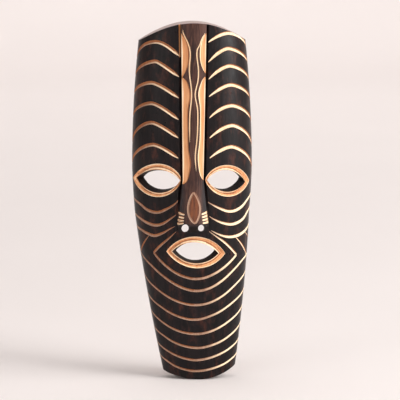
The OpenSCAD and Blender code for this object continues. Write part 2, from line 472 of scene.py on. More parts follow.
CHEEKS = (
    ((-14, 260.3), (-19, 251.1), (-30, 242.2), (-40, 238.2), (-53, 241.1), (-66, 248.4), (-94, 256.5)),
    ((-16, 237.9), (-23, 231.2), (-33, 223.0), (-43, 220.0), (-55, 222.5), (-69, 227.8), (-94, 235.0)),
    ((-20, 219.5), (-26, 215.7), (-34, 209.8), (-45, 205.2), (-56, 207.1), (-68, 210.9), (-94, 217.0)),
    ((12, 255.2), (18, 250.0), (27, 243.9), (37, 239.4), (47, 239.9), (58, 244.6), (70, 253.0),
     (94, 263.5)),
    ((14, 234.8), (20, 229.5), (29, 224.0), (40, 220.8), (50, 222.0), (62, 227.0), (73, 235.5),
     (94, 245.0)),
    ((17, 213.5), (25, 208.1), (33, 204.4), (42, 203.0), (53, 204.2), (66, 208.4), (81, 215.1),
     (94, 223.0)),
)
CHIN = (
    ((-94, 153.5), (-76, 142.0), (-56, 130.4), (-41, 121.2), (-28, 114.3), (-14, 109.4), (-2, 108.0),
     (10, 109.4), (22, 114.0), (36, 122.2), (53, 134.2), (74, 145.8), (94, 154.0)),
    ((-94, 124.5), (-75, 115.0), (-52, 104.0), (-37, 96.1), (-23, 90.4), (-10, 87.2), (3, 87.6),
     (15, 91.4), (29, 97.3), (45, 106.3), (61, 114.7), (77, 121.9), (94, 130.0)),
    ((-94, 101.5), (-76, 92.5), (-57, 83.4), (-40, 75.0), (-25, 69.4), (-10, 66.6), (3, 66.6),
     (16, 69.4), (30, 74.9), (47, 83.4), (75, 97.1), (94, 106.0)),
    ((-94, 76.5), (-77, 69.5), (-56, 61.9), (-40, 54.7), (-24, 49.2), (-9, 46.5), (4, 46.4),
     (19, 49.7), (35, 55.1), (54, 63.9), (77, 74.0), (94, 81.0)),
    ((-94, 54.5), (-79, 49.1), (-57, 41.5), (-38, 34.8), (-22, 30.4), (-7, 28.3), (8, 29.6),
     (24, 33.4), (42, 39.2), (60, 45.9), (79, 52.1), (94, 57.0)),
    ((-94, 35.8), (-79, 31.0), (-58, 24.8), (-41, 18.5), (-24, 14.3), (-8, 12.4), (8, 13.4),
     (25, 16.6), (44, 21.6), (59, 26.6), (80, 32.4), (94, 36.5)),
)
MOUTH_BOWL = (
    (-50, 180.6), (-41, 169.6), (-29, 158.0), (-18, 150.4), (-7, 146.2), (1, 145.4), (10, 147.0),
    (21, 152.2), (33, 160.4), (43, 169.0), (51, 176.5),
)
MOUTH_ARMS = (
    ((-19, 212.4), (-28, 202.1), (-39, 191.5), (-50, 180.6)),
    ((15, 212.2), (23, 204.6), (31, 197.6), (40, 188.4), (51, 176.5)),
)
JAW_LINE = (
    (-94, 182.0), (-83, 177.2), (-59, 163.0), (-44, 151.2), (-31, 141.2), (-19, 133.6), (-8, 129.4),
    (1, 128.3), (10, 129.8), (21, 134.8), (34, 144.1), (49, 156.6), (64, 167.2), (80, 173.6), (94, 178.5),
)
CHEEK_STRAPS = (
    ((-54, 204.6), (-67, 192.6), (-82, 179.6)),
    ((47, 202.8), (59, 191.9), (70, 181.6), (79, 174.2)),
    ((66, 207.6), (78, 201.2), (94, 192.5)),
)
NOSE_LENS = (
    ((-0.9, 269.0), (-5.6, 261.0), (-8.8, 249.0), (-8.0, 238.0), (-3.8, 229.5), (1.2, 225.6)),
    ((-0.9, 269.0), (4.2, 260.5), (7.8, 249.5), (7.5, 239.5), (4.8, 231.5), (1.2, 225.6)),
)


@dataclass(frozen=True)
class Nick:
    """Short cut on a wing of the nose: its middle and how far each end tilts."""

    x: float
    h: float
    tilt: float
    half: float = 3.7

    def stations(self) -> list[Station]:
        """Places along the nick, as x and height."""
        ends = (self.x - self.half, self.h - self.tilt), (self.x + self.half, self.h + self.tilt)
        return through((ends[0], (self.x, self.h), ends[1]), 4)


NICKS = (
    Nick(-17.3, 238.6, -1.0),
    Nick(-17.7, 234.0, -0.6),
    Nick(-18.2, 229.6, 0.2),
    Nick(-18.6, 225.4, 0.9),
    Nick(13.5, 239.2, 1.1),
    Nick(14.1, 234.9, 0.9),
    Nick(14.6, 230.6, 0.6),
    Nick(15.2, 226.4, 0.5),
)


@dataclass(frozen=True)
class Gouge:
    """How a gouge is drawn along its line: half-widths, depth, ends and where its finish changes.

    Faces of the bar that look up more than a shade limit cut the groove's upper wall, which faces down and
    gets painted shade.
    Of the others, those on the left of a given x get the duller line in painted shade that turns to a
    painted highlight, and those on its right the painted highlight.
    """

    start: float = 2.45
    middle: float = 2.5
    end: float = 1.5
    from_end: End = End.BLUNT
    to_end: End = End.OPEN
    depth_share: float = 0.75
    taper: float = 26.0
    spacing: float = 3.2
    around: int = 18
    shade_left: float = -0.1
    shade_right: float = 0.45
    lit_from: float = 0.0
    tip_share: float = 0.18
    tip_curve: float = 0.75

    def half_at(self, along: float, length: float) -> float:
        """Half-width of the cut at one place.

        Args:
            along: Distance from the line's start.
            length: Length of the whole line.

        Returns:
            The half-width.
        """
        share = along / length
        if share < 0.5:
            half = mix(self.start, self.middle, share * 2)
        else:
            half = mix(self.middle, self.end, share * 2 - 1)
        if self.from_end is End.FINE:
            half *= mix(self.tip_share, 1.0, part_way(along, 0.0, self.taper) ** self.tip_curve)
        if self.to_end is End.FINE:
            left = length - along
            half *= mix(self.tip_share, 1.0, part_way(left, 0.0, self.taper) ** self.tip_curve)
        return half


LEFT_ARCH = Gouge(from_end=End.FINE, taper=9.0)
RIGHT_ARCH = Gouge(from_end=End.FINE, taper=20.0)
CHEEK_CUT = Gouge(1.5, 2.2, 1.3, from_end=End.FINE, lit_from=PAST_SIDE)
CHIN_CUT = Gouge(1.1, 1.75, 1.1, from_end=End.OPEN, lit_from=PAST_SIDE)
BOWL_CUT = Gouge(1.6, 1.8, 1.6, End.BLUNT, End.BLUNT, lit_from=PAST_SIDE)
ARM_CUT = Gouge(1.3, 1.65, 1.6, End.FINE, End.BLUNT, lit_from=PAST_SIDE)
STRAP_CUT = Gouge(1.4, 1.5, 1.2, End.FINE, End.OPEN, lit_from=PAST_SIDE)
JAW_CUT = Gouge(1.2, 1.9, 1.2, from_end=End.OPEN, lit_from=PAST_SIDE)
LENS_CUT = Gouge(1.35, 1.55, 1.35, End.BLUNT, End.BLUNT, shade_left=0.45, lit_from=PAST_SIDE)
NICK_CUT = Gouge(1.5, 1.9, 1.5, End.BLUNT, End.BLUNT, shade_left=0.1, lit_from=-PAST_SIDE)


def sheet_of(columns: int, rows: int, place: Callable[[int, int], Vector]) -> bmesh.types.BMesh:
    """Grid whose corners are put where place says.

    Args:
        columns: Number of corners across.
        rows: Number of corners up.
        place: Gives the point for a column and a row.

    Returns:
        The grid, with its faces in rows.
    """
    bm = bmesh.new()
    bmesh.ops.create_grid(bm, x_segments=columns - 1, y_segments=rows - 1, size=1.0)
    bm.verts.ensure_lookup_table()
    for index, vert in enumerate(bm.verts):
        row, column = divmod(index, columns)
        vert.co = place(column, row)
    return bm


def close_up(bm: bmesh.types.BMesh, finish: Cut) -> bmesh.types.BMesh:
    """Welds a rolled-up grid, fills its open ends and turns its faces outwards.

    Args:
        bm: The rolled-up grid.
        finish: Finish of all its faces.

    Returns:
        The same mesh.
    """
    bmesh.ops.remove_doubles(bm, verts=bm.verts, dist=0.001)
    bmesh.ops.holes_fill(bm, edges=[e for e in bm.edges if e.is_boundary], sides=0)
    bmesh.ops.recalc_face_normals(bm, faces=bm.faces)
    for bm_face in bm.faces:
        bm_face.material_index = finish
    return bm


def measured(spots: Sequence[Spot]) -> list[float]:
    """Distance along a line at each of its spots.

    Args:
        spots: Points on the wood, each with the way out.

    Returns:
        The distances, from 0 at the first spot.
    """
    run = [0.0]
    for (a, _), (b, _) in zip(spots, spots[1:]):
        run.append(run[-1] + (b - a).length)
    return run


def spot_at(spots: Sequence[Spot], run: Sequence[float], along: float) -> Spot:
    """Point and way out at a distance along a line.

    Args:
        spots: Points on the wood, each with the way out.
        run: Distance along the line at each spot.
        along: The distance asked for.

    Returns:
        The point and the way out there.
    """
    for i in range(1, len(run)):
        if along <= run[i] or i == len(run) - 1:
            t = part_way(along, run[i - 1], run[i])
            (point, out), (next_point, next_out) = spots[i - 1], spots[i]
            return point.lerp(next_point, t), out.lerp(next_out, t).normalized()
    return spots[-1]


def gouge_tool(spots: Sequence[Spot], gouge: Gouge) -> bmesh.types.BMesh:
    """Solid round bar that cuts one gouge line.

    Args:
        spots: Points on the wood, each with the way out.
        gouge: Widths, depth and ends of the cut.

    Returns:
        The closed bar.
    """
    run = measured(spots)
    length = run[-1]
    inner = max(3, round(length / gouge.spacing))
    stops = [length * i / inner for i in range(inner + 1)]
    round_off = (0.02, 0.12, 0.3, 0.6)
    if gouge.from_end is End.BLUNT:
        stops = [gouge.start * q for q in round_off] + [s for s in stops if s > gouge.start]
    if gouge.to_end is End.BLUNT:
        stops = [s for s in stops if s < length - gouge.end] + [
            length - gouge.end * q for q in reversed(round_off)
        ]
    rings: list[tuple[Vector, Vector, Vector, float]] = []
    look = 1.0
    for stop in stops:
        point, out = spot_at(spots, run, stop)
        ahead = spot_at(spots, run, min(length, stop + look))[0]
        behind = spot_at(spots, run, max(0.0, stop - look))[0]
        along = (ahead - behind).normalized()
        across = along.cross(out).normalized()
        half = gouge.half_at(stop, length)
        deep = half * gouge.depth_share
        radius = (half * half + deep * deep) / (2 * deep)
        centre = point + out * (radius - deep)
        shrink = 1.0
        if gouge.from_end is End.BLUNT and stop < gouge.start:
            shrink = math.sqrt(1 - (1 - stop / gouge.start) ** 2)
        if gouge.to_end is End.BLUNT and length - stop < gouge.end:
            shrink = math.sqrt(1 - (1 - (length - stop) / gouge.end) ** 2)
        rings.append((centre, across, across.cross(along), radius * shrink))

    def place(column: int, row: int) -> Vector:
        """Corner at a column and a row of the sheet."""
        centre, across, out, radius = rings[row]
        angle = 2 * math.pi * column / gouge.around
        return centre + (across * math.cos(angle) + out * math.sin(angle)) * radius

    bar = close_up(sheet_of(gouge.around + 1, len(rings), place), Cut.PALE_WOOD_HIGHLIGHT)
    bar.normal_update()
    # Bar faces that look up cut the groove's upper wall, which faces down and gets painted shade; the
    # lower wall gets a painted highlight, or left of the limit the duller line that turns to a painted
    # highlight.
    for bm_face in bar.faces:
        x = bm_face.calc_center_median().x
        if bm_face.normal.z > (gouge.shade_left if x < 0 else gouge.shade_right):
            bm_face.material_index = Cut.PAINTED_SHADE
        elif x < gouge.lit_from:
            bm_face.material_index = Cut.LINE_SHADE_TO_HIGHLIGHT
    return bar


@dataclass(frozen=True)
class Almond:
    """Pointed oval on the face, given by its two tips, its top and its bottom."""

    left: Station
    right: Station
    top: float
    bottom: float

    def at(self, share: float) -> Station:
        """Point of the oval.

        Args:
            share: Share of the way round, 0 to 1, from the left tip over the top.

        Returns:
            Its x and height.
        """
        over = share < 0.5
        half = (self.right[0] - self.left[0]) / 2
        base = (self.left[1] + self.right[1]) / 2
        bulge = self.top - base if over else base - self.bottom
        radius = (half * half + bulge * bulge) / (2 * bulge)
        half_turn = math.asin(min(1.0, half / radius))
        angle = mix(-half_turn, half_turn, share * 2 if over else 2 - share * 2)
        across = radius * math.sin(angle) / half / 2 + 0.5
        rise = radius * math.cos(angle) - (radius - bulge)
        h = mix(self.left[1], self.right[1], across) + (rise if over else -rise)
        return mix(self.left[0], self.right[0], across), h


@dataclass(frozen=True)
class Opening:
    """Lens-shaped hole through the wall, its flared mouth and the cove carved round it."""

    x: float
    h: float
    width: float
    open: float
    turn: float
    drop: float
    outer: Almond
    inner: Almond
    cove_deep: float = 2.3
    reach: float = 31.5
    flare: float = 8.0
    per_arc: int = 26
    around: int = 44
    inset: float = 0.5
    least_bore: float = 1.0
    full_half: float = 4.0
    # Bands across the cove, from -1 at the hole to 1 at the outer edge: painted shade in the middle and
    # painted highlight beside it.
    shade_band: tuple[float, float] = (-0.28, 0.06)
    highlight_inside: tuple[float, float] = (-0.62, 0.0)
    highlight_outside: float = 0.5

    def lens(self, share: float) -> Station:
        """Point of the hole's outline behind the flare.

        Args:
            share: Share of the way round, 0 to 1, from the left tip over the top.

        Returns:
            Its place across and up from the hole's axis.
        """
        radius = (self.width**2 + self.open**2) / (4 * self.open)
        half_turn = math.asin(self.width / 2 / radius)
        over = share < 0.5
        angle = mix(-half_turn, half_turn, share * 2 if over else 2 - share * 2)
        rise = radius * math.cos(angle) - (radius - self.open / 2)
        return radius * math.sin(angle), rise if over else -rise

    def placed(self, face: Face) -> Matrix:
        """Place and turn of the hole's axis.

        Args:
            face: The face that the hole is cut in.

        Returns:
            The matrix that takes the hole's own axes there.
        """
        at = face.front(self.x - face.middle(self.h), self.h)
        spin = Matrix.Rotation(math.radians(self.turn), 4, "Z")
        tip = Matrix.Rotation(math.radians(self.drop), 4, "X")
        return Matrix.Translation((self.x, at, self.h)) @ spin @ tip

    def hole_tool(self, face: Face) -> bmesh.types.BMesh:
        """Solid that cuts the hole, wider at the face than behind.

        Args:
            face: The face that the hole is cut in.

        Returns:
            The closed solid.
        """
        matrix = self.placed(face)
        back = matrix.inverted()
        around = 2 * self.per_arc
        rings: list[list[Vector]] = [[], [], [], []]
        for i in range(around):
            x, z = self.lens(i / around)
            rim = back @ face.skin(*self.inner.at(i / around))
            rings[0].append(matrix @ Vector((rim.x, rim.y - self.reach, rim.z)))
            rings[1].append(matrix @ rim)
            rings[2].append(matrix @ Vector((x, rim.y + self.flare, z)))
            rings[3].append(matrix @ Vector((x, max(self.reach, rim.y + self.flare + self.least_bore), z)))

        def place(column: int, row: int) -> Vector:
            """Corner at a column and a row of the sheet."""
            return rings[row][column % around]

        # The flare and the bore take the bores' painted shade, which draws a dark outline round the hole.
        return close_up(sheet_of(around + 1, len(rings), place), Cut.BORE_SHADE)

    def cove_tool(self, face: Face) -> bmesh.types.BMesh:
        """Ring that cuts the cove between the hole and its outer outline.

        Args:
            face: The face that the cove is cut in.

        Returns:
            The closed ring, its faces banded by painted shade and painted highlight.
        """
        around = 2 * self.per_arc
        sections: list[tuple[Vector, Vector, Vector, float]] = []
        for i in range(around):
            inner = face.skin(*self.inner.at(i / around))
            outer = face.skin(*self.outer.at(i / around))
            inner += (inner - outer).normalized() * self.inset
            mid = (inner + outer) / 2
            _, out = face.skin_spot(mid.x, mid.z)
            half = (outer - inner).length / 2
            deep = self.cove_deep * min(1.0, half / self.full_half)
            radius = (half * half + deep * deep) / (2 * deep)
            sections.append((mid + out * (radius - deep), (outer - inner).normalized(), out, radius))

        def place(column: int, row: int) -> Vector:
            """Corner at a column and a row of the sheet."""
            centre, across, out, radius = sections[row % around]
            angle = 2 * math.pi * column / self.around
            return centre + (across * math.cos(angle) + out * math.sin(angle)) * radius

        ring = close_up(sheet_of(self.around + 1, around + 1, place), Cut.BARE)
        for bm_face in ring.faces:
            centre = bm_face.calc_center_median()
            at, across, _, radius = min(sections, key=lambda section: (section[0] - centre).length)
            bm_face.material_index = self.band((centre - at).dot(across) / radius)
        return ring

    def band(self, across: float) -> Cut:
        """Finish of a strip of the cove: painted shade in its middle, painted highlight beside that on the
        hole's side and along the outer edge, bare wood elsewhere.

        Args:
            across: Place of the strip, from -1 at the hole to 1 at the outer edge.

        Returns:
            The finish.
        """
        if self.shade_band[0] < across < self.shade_band[1]:
            return Cut.PAINTED_SHADE
        inside = self.highlight_inside[0] < across < self.highlight_inside[1]
        return Cut.PALE_WOOD_HIGHLIGHT if inside or across > self.highlight_outside else Cut.BARE


OPENINGS = (
    Opening(-49.0, 282.0, 62.0, 27.0, -27.0, 6.0,
            Almond((-82.5, 283.0), (-16.8, 286.0), 306.6, 260.0),
            Almond((-78.4, 284.3), (-19.9, 284.3), 298.6, 265.6)),
    Opening(46.5, 282.0, 57.0, 27.0, 27.0, 6.0,
            Almond((14.9, 284.6), (78.7, 279.0), 304.2, 260.0),
            Almond((18.4, 284.3), (72.8, 278.3), 297.6, 266.6)),
    Opening(2.5, 182.5, 54.0, 27.0, 0.0, 8.0,
            Almond((-37.7, 183.8), (44.0, 180.0), 205.4, 160.6),
            Almond((-30.4, 184.0), (34.6, 180.6), 197.4, 167.4)),
)


def tool_object(name: str, parts: Sequence[bmesh.types.BMesh]) -> bpy.types.Object:
    """One unseen object that holds several cutting solids.

    Args:
        name: Name of the object.
        parts: Closed solids that don't touch each other.

    Returns:
        The object, which still has to be removed after the cut.
    """
    whole = bmesh.new()
    for part in parts:
        mesh = bpy.data.meshes.new(name)
        part.to_mesh(mesh)
        part.free()
        whole.from_mesh(mesh)
        bpy.data.meshes.remove(mesh)
    mesh = bpy.data.meshes.new(name)
    whole.to_mesh(mesh)
    whole.free()
    made = bpy.data.objects.new(name, mesh)
    bpy.context.scene.collection.objects.link(made)
    return made


def carve(block: bpy.types.Object, name: str, parts: Sequence[bmesh.types.BMesh]) -> None:
    """Cuts solids out of the block and keeps the result as its mesh.

    Args:
        block: The wood that is cut.
        name: Name of the step, for the log.
        parts: Closed solids that don't touch each other.
    """
    tool = tool_object(name, parts)
    for material in block.data.materials:
        tool.data.materials.append(material)
    cut = block.modifiers.new(name, "BOOLEAN")
    cut.operation = "DIFFERENCE"
    cut.solver = "MANIFOLD"
    cut.material_mode = "INDEX"
    cut.object = tool
    bpy.context.view_layer.update()
    graph = bpy.context.evaluated_depsgraph_get()
    fresh = bpy.data.meshes.new_from_object(block.evaluated_get(graph), depsgraph=graph)
    old = block.data
    block.modifiers.clear()
    block.data = fresh
    bpy.data.meshes.remove(old)
    spent = tool.data
    bpy.data.objects.remove(tool)
    bpy.data.meshes.remove(spent)
    log.info("%s: %d faces", name, len(fresh.polygons))


def shade(red: int, green: int, blue: int) -> Colour:
    """Linear colour for a paint-chart colour.

    Args:
        red: Red, 0 to 255.
        green: Green, 0 to 255.
        blue: Blue, 0 to 255.

    Returns:
        The three linear shares.
    """
    def straight(value: int) -> float:
        """One linear share."""
        share = value / 255
        return share / 12.92 if share <= 0.04045 else ((share + 0.055) / 1.055) ** 2.4

    return straight(red), straight(green), straight(blue)


class Recipe:
    """Shorthand for one node material that reads Object coordinates."""

    def __init__(self, name: str) -> None:
        """Starts a material with only its surface shader.

        Args:
            name: Name of the material.
        """
        self.material = bpy.data.materials.new(name)
        self.material.use_nodes = True
        self.tree = self.material.node_tree
        self.tree.nodes.clear()
        self.skin = self.add("ShaderNodeBsdfPrincipled")
        out = self.add("ShaderNodeOutputMaterial")
        self.link(self.skin.outputs["BSDF"], out.inputs["Surface"])
        self.where = self.add("ShaderNodeTexCoord").outputs["Object"]

    def add(self, kind: str, **settings: object) -> bpy.types.Node:
        """New node.

        Args:
            kind: Type name of the node.
            settings: Its settings by name.

        Returns:
            The node.
        """
        node = self.tree.nodes.new(kind)
        for key, value in settings.items():
            setattr(node, key, value)
        return node

    def link(self, source: bpy.types.NodeSocket, target: bpy.types.NodeSocket) -> None:
        """Joins two sockets."""
        self.tree.links.new(source, target)

    def feed(self, socket: bpy.types.NodeSocket, value: object) -> None:
        """Joins a socket to another one, or sets its value.

        Args:
            socket: Input socket.
            value: Output socket, number or colour.
        """
        if isinstance(value, bpy.types.NodeSocket):
            self.link(value, socket)
        else:
            socket.default_value = value

    def paint(self, socket: bpy.types.NodeSocket, colour: object) -> None:
        """Joins a colour socket to another one, or sets its colour."""
        self.feed(socket, colour if isinstance(colour, bpy.types.NodeSocket) else (*colour, 1.0))

    def placed(self, scale: Colour, offset: Colour = (0.0, 0.0, 0.0)) -> bpy.types.NodeSocket:
        """Object coordinates, scaled along each axis and shifted.

        Args:
            scale: Scale along X, Y and Z.
            offset: Shift along X, Y and Z.

        Returns:
            The coordinates.
        """
        node = self.add("ShaderNodeMapping")
        self.link(self.where, node.inputs["Vector"])
        node.inputs["Scale"].default_value = scale
        node.inputs["Location"].default_value = offset
        return node.outputs["Vector"]

    def cloud(self, where: object, size: float, detail: float = 3.0, rough: float = 0.55,
              warp: float = 0.0) -> bpy.types.NodeSocket:
        """Noise from 0 to 1.

        Args:
            where: Coordinates that it reads.
            size: Size of its features in metres.
            detail: Number of finer layers.
            rough: How strong the finer layers are.
            warp: How much it is warped.

        Returns:
            The noise.
        """
        node = self.add("ShaderNodeTexNoise")
        self.feed(node.inputs["Vector"], where)
        node.inputs["Scale"].default_value = 1 / size
        node.inputs["Detail"].default_value = detail
        node.inputs["Roughness"].default_value = rough
        node.inputs["Distortion"].default_value = warp
        return node.outputs["Fac"]

    def cells(self, where: object, size: float, smooth: float = 0.35) -> bpy.types.NodeSocket:
        """Distance to the nearest of scattered points, for tool scoops.

        Args:
            where: Coordinates that it reads.
            size: Size of the scoops in metres.
            smooth: How far neighbouring scoops run together.

        Returns:
            The distance.
        """
        node = self.add("ShaderNodeTexVoronoi", feature="SMOOTH_F1")
        self.feed(node.inputs["Vector"], where)
        node.inputs["Scale"].default_value = 1 / size
        node.inputs["Smoothness"].default_value = smooth
        return node.outputs["Distance"]

    def maths(self, how: str, a: object, b: object = 0.0) -> bpy.types.NodeSocket:
        """Arithmetic on two values.

        Args:
            how: Kind of arithmetic.
            a: First value.
            b: Second value.

        Returns:
            The result.
        """
        node = self.add("ShaderNodeMath", operation=how)
        self.feed(node.inputs[0], a)
        self.feed(node.inputs[1], b)
        return node.outputs[0]

    def plus(self, a: object, b: object) -> bpy.types.NodeSocket:
        """Sum of two values."""
        return self.maths("ADD", a, b)

    def times(self, a: object, b: object) -> bpy.types.NodeSocket:
        """Product of two values."""
        return self.maths("MULTIPLY", a, b)

    def axis(self, name: str) -> bpy.types.NodeSocket:
        """One of the Object coordinates.

        Args:
            name: X, Y or Z.

        Returns:
            The coordinate.
        """
        node = self.add("ShaderNodeSeparateXYZ")
        self.link(self.where, node.inputs[0])
        return node.outputs[name]

    def step(self, value: object, low: float, high: float, to_low: float = 0.0,
             to_high: float = 1.0) -> bpy.types.NodeSocket:
        """Smooth step of a value between two bounds.

        Args:
            value: The value.
            low: Bound at which the step starts.
            high: Bound at which it ends.
            to_low: Result at the first bound.
            to_high: Result at the second.

        Returns:
            The result.
        """
        node = self.add("ShaderNodeMapRange", interpolation_type="SMOOTHSTEP")
        self.feed(node.inputs["Value"], value)
        node.inputs["From Min"].default_value = low
        node.inputs["From Max"].default_value = high
        node.inputs["To Min"].default_value = to_low
        node.inputs["To Max"].default_value = to_high
        return node.outputs["Result"]

    def blend(self, share: object, a: object, b: object, how: str = "MIX") -> bpy.types.NodeSocket:
        """Mix of two colours.

        Args:
            share: Share of the second colour.
            a: First colour.
            b: Second colour.
            how: Way of mixing.

        Returns:
            The mixed colour.
        """
        node = self.add("ShaderNodeMix", data_type="RGBA", blend_type=how)
        self.feed(node.inputs["Factor"], share)
        for name, colour in (("A", a), ("B", b)):
            self.paint(next(s for s in node.inputs if s.name == name and s.type == "RGBA"), colour)
        return next(s for s in node.outputs if s.type == "RGBA")

    def bump(self, height: object, strength: float, distance: float,
             below: bpy.types.NodeSocket | None = None) -> bpy.types.NodeSocket:
        """Bump.

        Args:
            height: Height of the surface, as a share.
            strength: Strength from 0 to 1.
            distance: Depth in metres.
            below: Another bump that this one lies over.

        Returns:
            The bumped normal.
        """
        node = self.add("ShaderNodeBump")
        node.inputs["Strength"].default_value = strength
        node.inputs["Distance"].default_value = distance
        self.feed(node.inputs["Height"], height)
        if below is not None:
            self.link(below, node.inputs["Normal"])
        return node.outputs["Normal"]

    def finish(self, colour: object, rough: object, normal: bpy.types.NodeSocket | None,
               specular: float = 0.5, metal: float = 0.0) -> bpy.types.Material:
        """Feeds the surface shader.

        Args:
            colour: Colour of the surface.
            rough: Roughness from 0 to 1.
            normal: Bumped normal, if there is one.
            specular: Strength of the shine.
            metal: 1 for metal, 0 for anything else.

        Returns:
            The material.
        """
        self.paint(self.skin.inputs["Base Color"], colour)
        self.feed(self.skin.inputs["Roughness"], rough)
        self.skin.inputs["Specular IOR Level"].default_value = specular
        self.skin.inputs["Metallic"].default_value = metal
        if normal is not None:
            self.link(normal, self.skin.inputs["Normal"])
        return self.material


@dataclass(frozen=True)
class Timber:
    """Wood finish: two main colours in streaks along the grain, with pores and tool marks."""

    name: str
    light: Colour
    dark: Colour
    fleck: Colour
    fleck_share: float
    rough: tuple[float, float]
    specular: float
    streak: float = 0.004
    stretch: float = 0.05
    fibre_deep: float = 0.00012
    scoop_size: float = 0.0
    scoop_deep: float = 0.0
    scoop_stretch: float = 0.55
    streak_deep: float = 0.0004
    fibre: float = 0.0007
    fibre_stretch: float = 0.02
    patch: float = 0.05
    wear: float = 0.012

    def base(self, recipe: Recipe) -> tuple[bpy.types.NodeSocket, ...]:
        """Pattern that every timber finish shares.

        Args:
            recipe: Material that it is added to.

        Returns:
            Colour, roughness and bump.
        """
        along = recipe.placed((1.0, 1.0, self.stretch))
        streak = recipe.cloud(along, self.streak, 5.0, 0.6, 0.6)
        fibre = recipe.cloud(recipe.placed((1.0, 1.0, self.fibre_stretch)), self.fibre, 3.0, 0.6)
        patch = recipe.cloud(recipe.where, self.patch, 3.0, 0.5)
        share = recipe.step(recipe.plus(streak, recipe.times(patch, 0.5)), 0.55, 1.0)
        colour = recipe.blend(share, self.dark, self.light)
        flecks = recipe.step(fibre, 0.56, 0.72, 0.0, self.fleck_share)
        colour = recipe.blend(flecks, colour, self.fleck)
        wear_and_highlight = recipe.cloud(recipe.where, self.wear, 4.0, 0.6)
        rough = recipe.step(recipe.plus(wear_and_highlight, recipe.times(fibre, 0.4)), 0.45, 0.95, *self.rough)
        normal = recipe.bump(fibre, 0.5, self.fibre_deep)
        normal = recipe.bump(streak, 0.4, self.streak_deep, normal)
        if self.scoop_deep:
            cell = recipe.cells(recipe.placed((1.0, 1.0, self.scoop_stretch)), self.scoop_size)
            normal = recipe.bump(cell, 1.0, self.scoop_deep, normal)
        return colour, rough, normal

    def build(self) -> bpy.types.Material:
        """Builds the finish.

        Returns:
            The material.
        """
        recipe = Recipe(self.name)
        colour, rough, normal = self.base(recipe)
        return recipe.finish(colour, rough, normal, self.specular)


@dataclass(frozen=True)
class Stain(Timber):
    """Near-black stain, thin in places and rubbed through to brown along the sides."""

    rub: Colour = (0.1, 0.05, 0.03)
    rub_from: float = 0.066
    rub_to: float = 0.086
    thin: Colour = shade(84, 44, 32)
    thin_share: float = 0.55
    rub_size: float = 0.02
    rub_share: float = 0.7
    thin_size: float = 0.010
    thin_shift: Colour = (0.3, 0.1, 0.2)
    swath_size: float = 0.016
    swath_deep: float = 0.0006

    def build(self) -> bpy.types.Material:
        """Builds the stain with its thin places, worn sides and broad tool marks.

        Returns:
            The material.
        """
        recipe = Recipe(self.name)
        colour, rough, normal = self.base(recipe)
        out = recipe.maths("ABSOLUTE", recipe.axis("X"))
        patch = recipe.cloud(recipe.placed((1.0, 1.0, 0.35)), self.rub_size, 4.0, 0.65)
        rubbed = recipe.times(recipe.step(out, self.rub_from, self.rub_to),
                              recipe.step(patch, 0.52, 0.66))
        colour = recipe.blend(recipe.times(rubbed, self.rub_share), colour, self.rub)
        spots = recipe.cloud(recipe.placed((1.0, 1.0, 0.4), self.thin_shift), self.thin_size, 5.0, 0.7)
        thin = recipe.step(spots, 0.5, 0.72, 0.0, self.thin_share)
        colour = recipe.blend(thin, colour, self.thin)
        swath = recipe.cells(recipe.placed((1.0, 1.0, 0.3)), self.swath_size)
        normal = recipe.bump(swath, 0.35, self.swath_deep, normal)
        return recipe.finish(colour, rough, normal, self.specular)


@dataclass(frozen=True)
class ShadeToHighlightLine(Timber):
    """Floor of a gouge line in duller cut wood, partly painted shade, which turns to a painted highlight
    towards the right or, over the brow, the ridge.
    """

    pale: Colour = shade(255, 232, 198)
    fade_from: float = 0.012
    fade_to: float = 0.048
    brow_z: float = -0.165
    brow_shift: float = 0.085
    brow_blend: float = 0.001
    ragged_size: float = 0.012
    ragged_by: float = 0.02

    def build(self) -> bpy.types.Material:
        """Builds the wood with its painted highlight at one end, whose edge is ragged.

        Returns:
            The material.
        """
        recipe = Recipe(self.name)
        colour, rough, normal = self.base(recipe)
        brow = recipe.step(recipe.axis("Z"), self.brow_z - self.brow_blend, self.brow_z + self.brow_blend,
                           0.0, self.brow_shift)
        across = recipe.plus(recipe.axis("X"), brow)
        ragged = recipe.plus(across, recipe.times(recipe.cloud(recipe.where, self.ragged_size),
                                                  self.ragged_by))
        middle = self.ragged_by / 2
        pale = recipe.step(ragged, self.fade_from + middle, self.fade_to + middle)
        colour = recipe.blend(pale, colour, self.pale)
        return recipe.finish(colour, rough, normal, self.specular)


